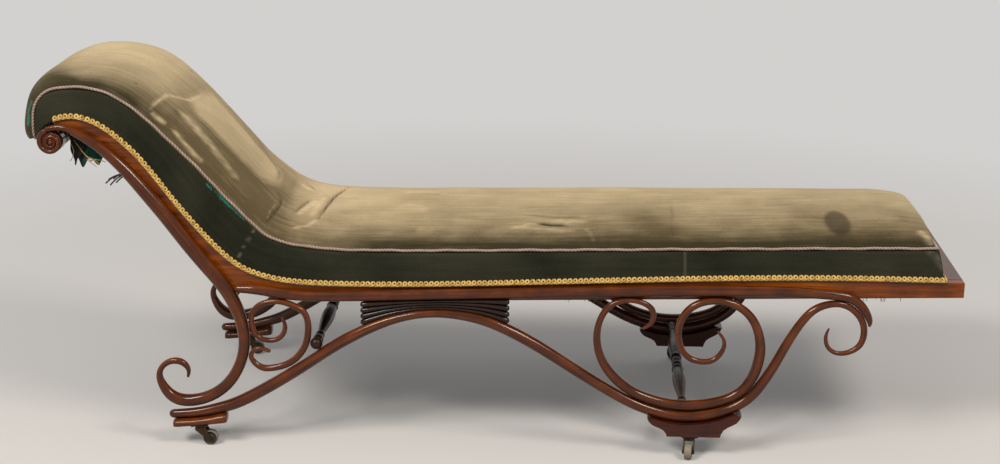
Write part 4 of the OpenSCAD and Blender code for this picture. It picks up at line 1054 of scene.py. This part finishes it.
def cord_of(path, radius, sides=10):
    """A round cord through points in space: rings square to its way."""
    ways = np.vstack([path[1] - path[0], path[2:] - path[:-2], path[-1] - path[-2]])
    ways /= np.linalg.norm(ways, axis=1)[:, None]
    spare = np.where(np.abs(ways[:, 1:2]) < 0.8, (0, 1, 0), (0, 0, 1))
    first = np.cross(ways, spare)
    first /= np.linalg.norm(first, axis=1)[:, None]
    second = np.cross(ways, first)
    run = np.r_[0, np.cumsum(np.linalg.norm(np.diff(path, axis=0), axis=1))]
    a = 2 * math.pi * np.arange(sides) / sides
    c, s = np.cos(a)[None, :, None] * radius, np.sin(a)[None, :, None] * radius
    rings = path[:, None] + first[:, None] * c + second[:, None] * s
    lays = np.stack([np.repeat(run[:, None], sides, 1), np.broadcast_to(c[..., 0], rings.shape[:2]),
                     np.broadcast_to(s[..., 0], rings.shape[:2])], axis=2)
    points, faces = skin(rings)
    return points, faces, lays.reshape(-1, 3)


cord_r = 2.9
wobble = 0.5 * np.sin(rows.run / 23) + 0.4 * np.sin(rows.run / 9.1 + 1)
for side in ("near", "far"):
    down = rows.sunk + 3 if side == "far" else 0 * rows.sunk
    line = rows.piping + rows.up * (0.3 + wobble - down)[:, None]
    path = np.column_stack([line[:, 0], np.full(last + 1, -piping_y), line[:, 1]])
    points, faces, lay = cord_of(path, cord_r)
    piece(f"piping_cord_{side}", mirrored(points, side), faces, lay, cord_skin, "piping_cord",
          [f"piping_{side}"])
end = rows.piping[-1]
path = np.array([[end[0] - 4, y, end[1] - rows.sunk[-1] * max(y / piping_y, 0) ** 2]
                 for y in np.linspace(-piping_y + 4.3, piping_y - 4.3, 60)])
piece("piping_cord_foot", *cord_of(path, cord_r), cord_skin, "piping_cord", ["foot_piping"])
print("cord laid on both sides and the foot end")

# %% [markdown]
# The gimp is a narrow braid of silky yellow cords, glued over the cloth's edge. Its upper edge
# is a row of small loops about 11 mm apart. A picture of loops would look flat in profile, so each
# loop is a real ring of cord, standing on two wound cords that run along the wood.

# %% Gimp braid
# Wound silk has a soft shine, and soot has dulled it in patches
gimp_skin, tree = new_material("silk_gimp")
lay = add(tree, "Attribute", attribute_name="lay").outputs["Vector"]
part = add(tree, "SeparateXYZ", {0: lay})
# The silk is wound round a core every 0.4 mm; a turn every 1.6 mm is drawn
wound = add(tree, "Math", {0: part.outputs[0], 1: 2 * math.pi / 0.0016}, operation="MULTIPLY")
ridge = add(tree, "Math", {0: wound}, operation="SINE")
dirt = add(tree, "TexNoise", {"Vector": lay, "Scale": 55.0, "Detail": 5.0})
soot = add(tree, "ValToRGB", {0: dirt}, [(0.34, "#a37a30"), (0.56, "#ecc468")])
rise = add(tree, "Bump", {"Height": ridge, "Strength": 0.5, "Distance": 0.0003})
coat = add(tree, "BsdfPrincipled", {"Base Color": soot, "Normal": rise, "Roughness": 0.55,
                                    "Sheen Weight": 0.3})
add(tree, "OutputMaterial", {0: coat})
loop_pitch, loop_r, loop_cord = 10.8, 3.4, 2.2


def gimp(spot_at, length):
    """Loops and two cords along a length; spot_at(run, lift, out) gives a point in space."""
    parts = []
    count = int(length / loop_pitch)
    turn = np.linspace(0, 2 * math.pi, 15)
    for number in range(count):
        middle = (number + 0.5) * length / count
        lean = 0.5 * math.sin(number * 2.3)
        ring = np.array([spot_at(middle + loop_r * math.sin(t) + lean * math.cos(t),
                                 6.4 + loop_r * math.cos(t), 1.5 + 0.7 * math.sin(t / 2)) for t in turn])
        points, faces, lay = cord_of(ring, loop_cord, 6)
        parts.append((points, faces, lay + (number * 37, 0, 0)))
    steps = np.linspace(0, length, int(length / 6))
    for lift, r in ((1.6, 1.5), (4.2, 1.2)):
        parts.append(cord_of(np.array([spot_at(t, lift, 1.4) for t in steps]), r, 6))
    return joined(parts)


tack_run = run_of(rows.tack)
braid_from = np.interp(3, rows.row, tack_run)


def on_side(run, lift, out):
    t = braid_from + run
    tack = [np.interp(t, tack_run, rows.tack[:, k]) for k in (0, 1)]
    way = np.array([np.interp(t, tack_run, rows.toward[:, k]) for k in (0, 1)])
    lean = band_lean * lift / np.interp(t, tack_run, rows.top)
    p = tack + way / np.linalg.norm(way) * (lift + seat_gap)
    return p[0], -(band_face + seat_gap + out) + lean, p[1]


def on_foot(run, lift, out):
    p = foot_low + rows.toward[-1] * lift
    return p[0] + out + 0.6, run - band_face, p[1]


for side in ("near", "far"):
    points, faces, lay = gimp(on_side, tack_run[-1] - braid_from)
    piece(f"gimp_braid_{side}", mirrored(points, side), faces, lay, gimp_skin, "gimp_braid",
          [f"braid_{side}"])
piece("gimp_braid_foot", *gimp(on_foot, 2 * band_face), gimp_skin, "gimp_braid", ["foot_braid"])
print("the braid has", int((tack_run[-1] - braid_from) / loop_pitch), "loops on a side")

# %% [markdown]
# ## Webbing and linings
# Jute straps are stretched across under the stuffing, and dark linen closes the underside of
# the seat and of the back. All three are sheets of woven cloth, so each is a single surface
# with a weave.

# %% Woven cloths
def woven(name, threads, gaps, pitch):
    """A plain weave: two crossing waves raise the threads. Pitch is the thread spacing in metres."""
    made, tree = new_material(name)
    lay = add(tree, "Attribute", attribute_name="lay").outputs["Vector"]
    part = add(tree, "SeparateXYZ", {0: lay})
    warp = add(tree, "Math", {0: part.outputs[0], 1: 2 * math.pi / pitch}, operation="MULTIPLY")
    weft = add(tree, "Math", {0: part.outputs[1], 1: 2 * math.pi / pitch}, operation="MULTIPLY")
    one = add(tree, "Math", {0: warp}, operation="SINE")
    two = add(tree, "Math", {0: weft}, operation="SINE")
    cross = add(tree, "Math", {0: one, 1: two}, operation="MULTIPLY")
    dirt = add(tree, "TexNoise", {"Vector": lay, "Scale": 30.0, "Detail": 5.0})
    light = add(tree, "MapRange", {0: cross, 1: -1.0, 2: 1.0, 3: 0.2, 4: 0.8})
    mixed = add(tree, "Math", {0: light, 1: dirt}, operation="ADD", use_clamp=True)
    tint = add(tree, "Mix", {0: mixed, 6: linear(gaps), 7: linear(threads)}, data_type="RGBA")
    rise = add(tree, "Bump", {"Height": cross, "Strength": 0.6, "Distance": 0.0006})
    coat = add(tree, "BsdfPrincipled", {"Base Color": tint.outputs[2], "Normal": rise,
                                        "Roughness": 0.95, "Sheen Weight": 0.1})
    add(tree, "OutputMaterial", {0: coat})
    return made


# Jute is straw brown, with threads 2 mm apart, and the old linen is nearly black, with threads
# 0.7 mm apart. Neither shines, and both weaves are drawn coarser than they are, to show
jute = woven("jute_webbing", "#9a8558", "#57492e", 0.004)
linen = woven("dusty_black_linen", "#3a342c", "#211d19", 0.003)


def sheet_of(grid, lay, name, finish, slot, nodes, flat, **facts):
    n, m = grid.shape[:2]
    faces = [[i * m + j, i * m + j + 1, (i + 1) * m + j + 1, (i + 1) * m + j]
             for i in range(n - 1) for j in range(m - 1)]
    made = piece(name, grid.reshape(-1, 3), faces, lay.reshape(-1, 3), finish, slot, nodes, outward=False)
    return made


cloth_half = board_back - seat_gap
halves = np.linspace(-cloth_half, cloth_half, 25)
from_rail_to_rail = {"held": "stretched", "rests_on": ["side_rail_near", "side_rail_far"]}


def over_width(line):
    """A grid of points over the couch's width, from a line in the side view."""
    return np.array([[[x, y, z] for y in halves] for x, z in line])


strap_w, strap_pitch = 52, 52 * 1.7
starts = np.arange(tack_run[-1] * 0.08, tack_run[-1] * 0.94, strap_pitch)
below = rows.tack - left_of(rows.tack) * 1.2
for number, start in enumerate(starts):
    spots = np.linspace(start - strap_w / 2, start + strap_w / 2, 7)
    line = np.stack([np.interp(spots, tack_run, below[:, k]) for k in (0, 1)], axis=1)
    sheet_of(over_width(line), over_width([(t, 0) for t in spots]), f"webbing_strap_{number + 1:02d}", jute,
             "webbing", ["webbing"], (strap_w / 1000, 2 * cloth_half / 1000), **from_rail_to_rail)
print(len(starts), "straps of webbing")

# %% Linings
board_foot_shares = [[-0.466, 1.823], [-0.449, 1.800], [-0.412, 1.696], [-0.371, 1.480],
    [-0.331, 1.250], [-0.300, 1.100], [-0.277, 1.055], [-0.255, 1.028], [-0.234, 1.010],
    [-0.207, 1.000]]
foot_edge = bend(place_all(board_foot_shares), 8)
inside = foot_edge + left_of(foot_edge)
sheet_of(over_width(inside), over_width([(t, 0) for t in run_of(foot_edge)]), "back_lining_cloth", linen,
         "lining_cloth", ["back_lining"], (2 * cloth_half / 1000, run_of(inside)[-1] / 1000),
         **from_rail_to_rail)
foot_x, foot_rail_w = frame_len / 2 + middle_x, 38
seat_x = np.linspace(foot_edge[-1, 0] + seat_gap, foot_x - foot_rail_w - seat_gap, 60)
sag = np.outer(np.sin(math.pi * (seat_x - seat_x[0]) / np.ptp(seat_x)),
               np.cos(math.pi * halves / 2 / cloth_half))
grid = np.array([[[x, y, rail_z(x) + 1 - 5 * sag[i, j]] for j, y in enumerate(halves)]
                 for i, x in enumerate(seat_x)])
sheet_of(grid, over_width([(x + 3000, 0) for x in seat_x]), "seat_dust_cloth", linen, "lining_cloth",
         ["dust_cloth"], (2 * cloth_half / 1000, np.ptp(seat_x) / 1000 + 0.0003), **from_rail_to_rail)
# Short loose threads hang behind the near rail in two places, where the cloth's edge has frayed
frays = []
for number in range(34):
    low_x, high_x = ((150, 298), (726, 828))[number % 2]
    x = low_x + (high_x - low_x) * ((number * 0.618) % 1)
    hang, drift = 5 + 5 * math.sin(number * 1.9), 14 * math.sin(number * 2.7)
    t = np.linspace(0, 1, 7)[:, None]
    path = np.array((x, -238.5, rail_z(x) - 0.5)) + t * (drift, -1, 0) - t * t * (0, 0, 4 + hang)
    frays.append(cord_of(path, 0.5, 4))
piece("frayed_cloth_edge", *joined(frays), jute, "webbing")
print("linings cover", round(run_of(inside)[-1]), "and", round(np.ptp(seat_x)), "mm")

# %% [markdown]
# The lining has torn loose under the roll. A rag of black cloth with a worn teal face hangs
# from the head rail behind the near board, with a few yellow threads of its ground. The rag is
# a crumpled sheet: a grid that falls straight down, folded by two waves that grow downwards.

# %% Torn rag
# Dull black linen, with what is left of its teal face on the half away from the head
ragged, tree = new_material("torn_lining")
lay = add(tree, "Attribute", attribute_name="lay").outputs["Vector"]
tear = add(tree, "TexNoise", {"Vector": lay, "Scale": 60.0, "Detail": 4.0})
side_way = add(tree, "SeparateXYZ", {0: lay}).outputs[0]
shift = add(tree, "Math", {0: tear, 1: 0.03}, operation="MULTIPLY")
edge = add(tree, "Math", {0: side_way, 1: shift}, operation="ADD")
worn = add(tree, "MapRange", {0: edge, 1: 0.040, 2: 0.046})
thread = add(tree, "TexNoise", {"Vector": lay, "Scale": 900.0, "Detail": 2.0})
blue = add(tree, "Mix", {0: thread, 6: linear("#0b332c"), 7: linear("#1f7362")}, data_type="RGBA")
tint = add(tree, "Mix", {0: worn, 6: linear("#1d1a18"), 7: blue.outputs[2]}, data_type="RGBA")
rise = add(tree, "Bump", {"Height": thread, "Strength": 0.7, "Distance": 0.0008})
coat = add(tree, "BsdfPrincipled", {"Base Color": tint.outputs[2], "Normal": rise, "Roughness": 0.95})
add(tree, "OutputMaterial", {0: coat})


def rag(name, head, length, drop, lean, wave, threads=()):
    """A scrap that hangs from a point of the rail: head is its top corner, lean how far it drifts."""
    u, v = np.linspace(0, 1, 22), np.linspace(0, 1, 18)
    grid = np.array([[[head[0] + length * a + lean * b + 2 * math.sin(9 * b + 5 * a),
                       head[1] + wave * (0.3 + b) * math.sin(7 * a + 2 * b) + 6 * a,
                       head[2] - drop * b * (0.86 + 0.14 * math.sin(17 * a + 1))]
                      for b in v] for a in u])
    lay = np.array([[[length * a, drop * b, 0] for b in v] for a in u])
    run = np.linalg.norm(np.diff(grid, axis=0), axis=2).sum(0).max()
    fall = np.linalg.norm(np.diff(grid, axis=1), axis=2).sum(1).max()
    # A torn piece is no rectangle, so its area is summed from the grid
    a, b = grid[1:, :-1] - grid[:-1, :-1], grid[:-1, 1:] - grid[:-1, :-1]
    area = np.linalg.norm(np.cross(a, b), axis=2).sum() / 1e6
    return sheet_of(grid, lay, name, ragged, "lining_cloth", [], (run / 1000, fall / 1000),
                    held="hung", rests_on=["head_rail"], area=float(area), with_pieces=list(threads))


def thread(start, end, bow_out, steps=14, radius=0.8, sides=5):
    t = np.linspace(0, 1, steps)[:, None]
    path = np.array(start) * (1 - t) + np.array(end) * t + np.array(bow_out) * 4 * t * (1 - t)
    return cord_of(path, radius, sides)


yellow_threads = [
    ((-852, -228, 640), (-818, -231, 596), (4, -3, -6)), ((-846, -229, 632), (-806, -233, 602), (2, -5, -10)),
    ((-826, -230, 604), (-800, -234, 590), (0, -3, 5)), ((-828, -231, 600), (-808, -233, 585), (5, 0, -3)),
    ((-824, -230, 596), (-790, -228, 594), (0, 4, 3)), ((-858, -228, 630), (-862, -230, 596), (6, 0, 0))]
threads = piece("loose_threads", *joined([thread(*ends) for ends in yellow_threads]), gimp_skin, "gimp_braid")
rag_drop = 66
rag("torn_rag", (-866, -219, 648), 62, rag_drop, 6, 8, [threads])
rag("torn_scrap", (-846, -226, 640), 24, 40, -4, 5)
# A wisp of black threads sticks out from behind the rail lower down
wisp_ends = [(-792, -229, 550), (-784, -224, 545), (-776, -227, 559), (-788, -221, 556), (-770, -230, 552),
             (-764, -226, 565)]
wisps = [thread((-742.0, -231, 571), end, (0, 2, 7 - number), 9, 1.5, 6)
         for number, end in enumerate(wisp_ends)]
piece("torn_wisp", *joined(wisps), linen, "lining_cloth")
print("a rag hangs", rag_drop, "mm under the head rail")

# %% [markdown]
# ## Floor and light
# The couch stands on a plain pale floor, so that it can be seen from all round. Between one and
# three metres out, the floor melts into the colour of the world, with no horizon. Two large
# lamps hang high on the left and on the right, and give the rods their narrow lines of light. A
# camera ray sees the world paler than it lights the couch, so that the pale ground costs
# nothing in contrast.

# %% World and floor
ground = "#d3d1cf"


def rays_that_see(tree):
    """1 for camera, glossy and transmission rays, and 0 for the light that bounces."""
    ray = add(tree, "LightPath").outputs
    seen = add(tree, "Math", {0: ray["Is Camera Ray"], 1: ray["Is Glossy Ray"]}, operation="ADD")
    return add(tree, "Math", {0: seen, 1: ray["Is Transmission Ray"]}, operation="ADD",
               use_clamp=True).outputs[0]


world = bpy.data.worlds.new("pale studio")
bpy.context.scene.world = world
world.use_nodes = True
tree = world.node_tree
glow = add(tree, "MapRange", {0: rays_that_see(tree), 3: 0.42, 4: 1.0})
tree.nodes["Background"].inputs[0].default_value = linear(ground)
tree.links.new(glow.outputs[0], tree.nodes["Background"].inputs[1])

floor_skin, tree = new_material("pale_studio_floor")
spot = add(tree, "TexCoord").outputs["Object"]
speck = add(tree, "TexNoise", {"Vector": spot, "Scale": 400.0})
tint = add(tree, "Mix", {0: speck, 6: linear("#cfcdcb"), 7: linear("#dad8d6")}, data_type="RGBA")
seen = rays_that_see(tree)
shown = add(tree, "Mix", {0: seen, 6: linear("#8f8d8b"), 7: tint.outputs[2]}, data_type="RGBA")
lit = add(tree, "Math", {0: seen, 1: 0.08}, operation="MULTIPLY")
near = add(tree, "BsdfPrincipled", {"Base Color": shown.outputs[2], "Emission Strength": lit,
                                    "Emission Color": linear("#ffffff"), "Roughness": 0.9,
                                    "Specular IOR Level": 0.2})
away = add(tree, "VectorMath", {0: spot}, operation="LENGTH").outputs["Value"]
melt = add(tree, "MapRange", {0: away, 1: 0.9, 2: 3.1}, interpolation_type="SMOOTHSTEP")
melted = add(tree, "Math", {0: melt, 1: seen}, operation="MULTIPLY")
horizon = add(tree, "Emission", {"Color": linear(ground)})
both = add(tree, "MixShader", {0: melted, 1: near, 2: horizon})
# Seen from beneath, the floor is clear, so that the underside of the couch can be looked at
under = add(tree, "NewGeometry").outputs["Backfacing"]
clear = add(tree, "BsdfTransparent")
whole = add(tree, "MixShader", {0: under, 1: both, 2: clear})
add(tree, "OutputMaterial", {0: whole})
mesh = bpy.data.meshes.new("studio_floor")
floor_half = 30
corners = [(x * floor_half, y * floor_half, 0) for x, y in ((-1, -1), (1, -1), (1, 1), (-1, 1))]
mesh.from_pydata(corners, [], [[0, 1, 2, 3]])
mesh.materials.append(floor_skin)
floor = bpy.data.objects.new("studio_floor", mesh)
bpy.context.scene.collection.objects.link(floor)
print("the floor is", 2 * floor_half, "m wide")

# %% Lamps
def lamp(name, at, aim, size, watts, tint="#ffffff"):
    light = bpy.data.lights.new(name, "AREA")
    light.shape = "RECTANGLE"
    light.size, light.size_y = size
    light.energy = watts
    light.color = linear(tint)[:3]
    made = bpy.data.objects.new(name, light)
    bpy.context.scene.collection.objects.link(made)
    made.location = at
    made.rotation_euler = (Vector(aim) - Vector(at)).to_track_quat("-Z", "Y").to_euler()


lamp("key softbox", (-2.4, -3.1, 3.9), (-0.1, 0, 0.3), (2.1, 1.0), 165, "#fffaf2")
lamp("right softbox", (2.6, -2.3, 3.9), (0.2, 0, 0.3), (1.7, 0.9), 100, "#fff6ea")
bpy.context.scene.view_settings.view_transform = "Standard"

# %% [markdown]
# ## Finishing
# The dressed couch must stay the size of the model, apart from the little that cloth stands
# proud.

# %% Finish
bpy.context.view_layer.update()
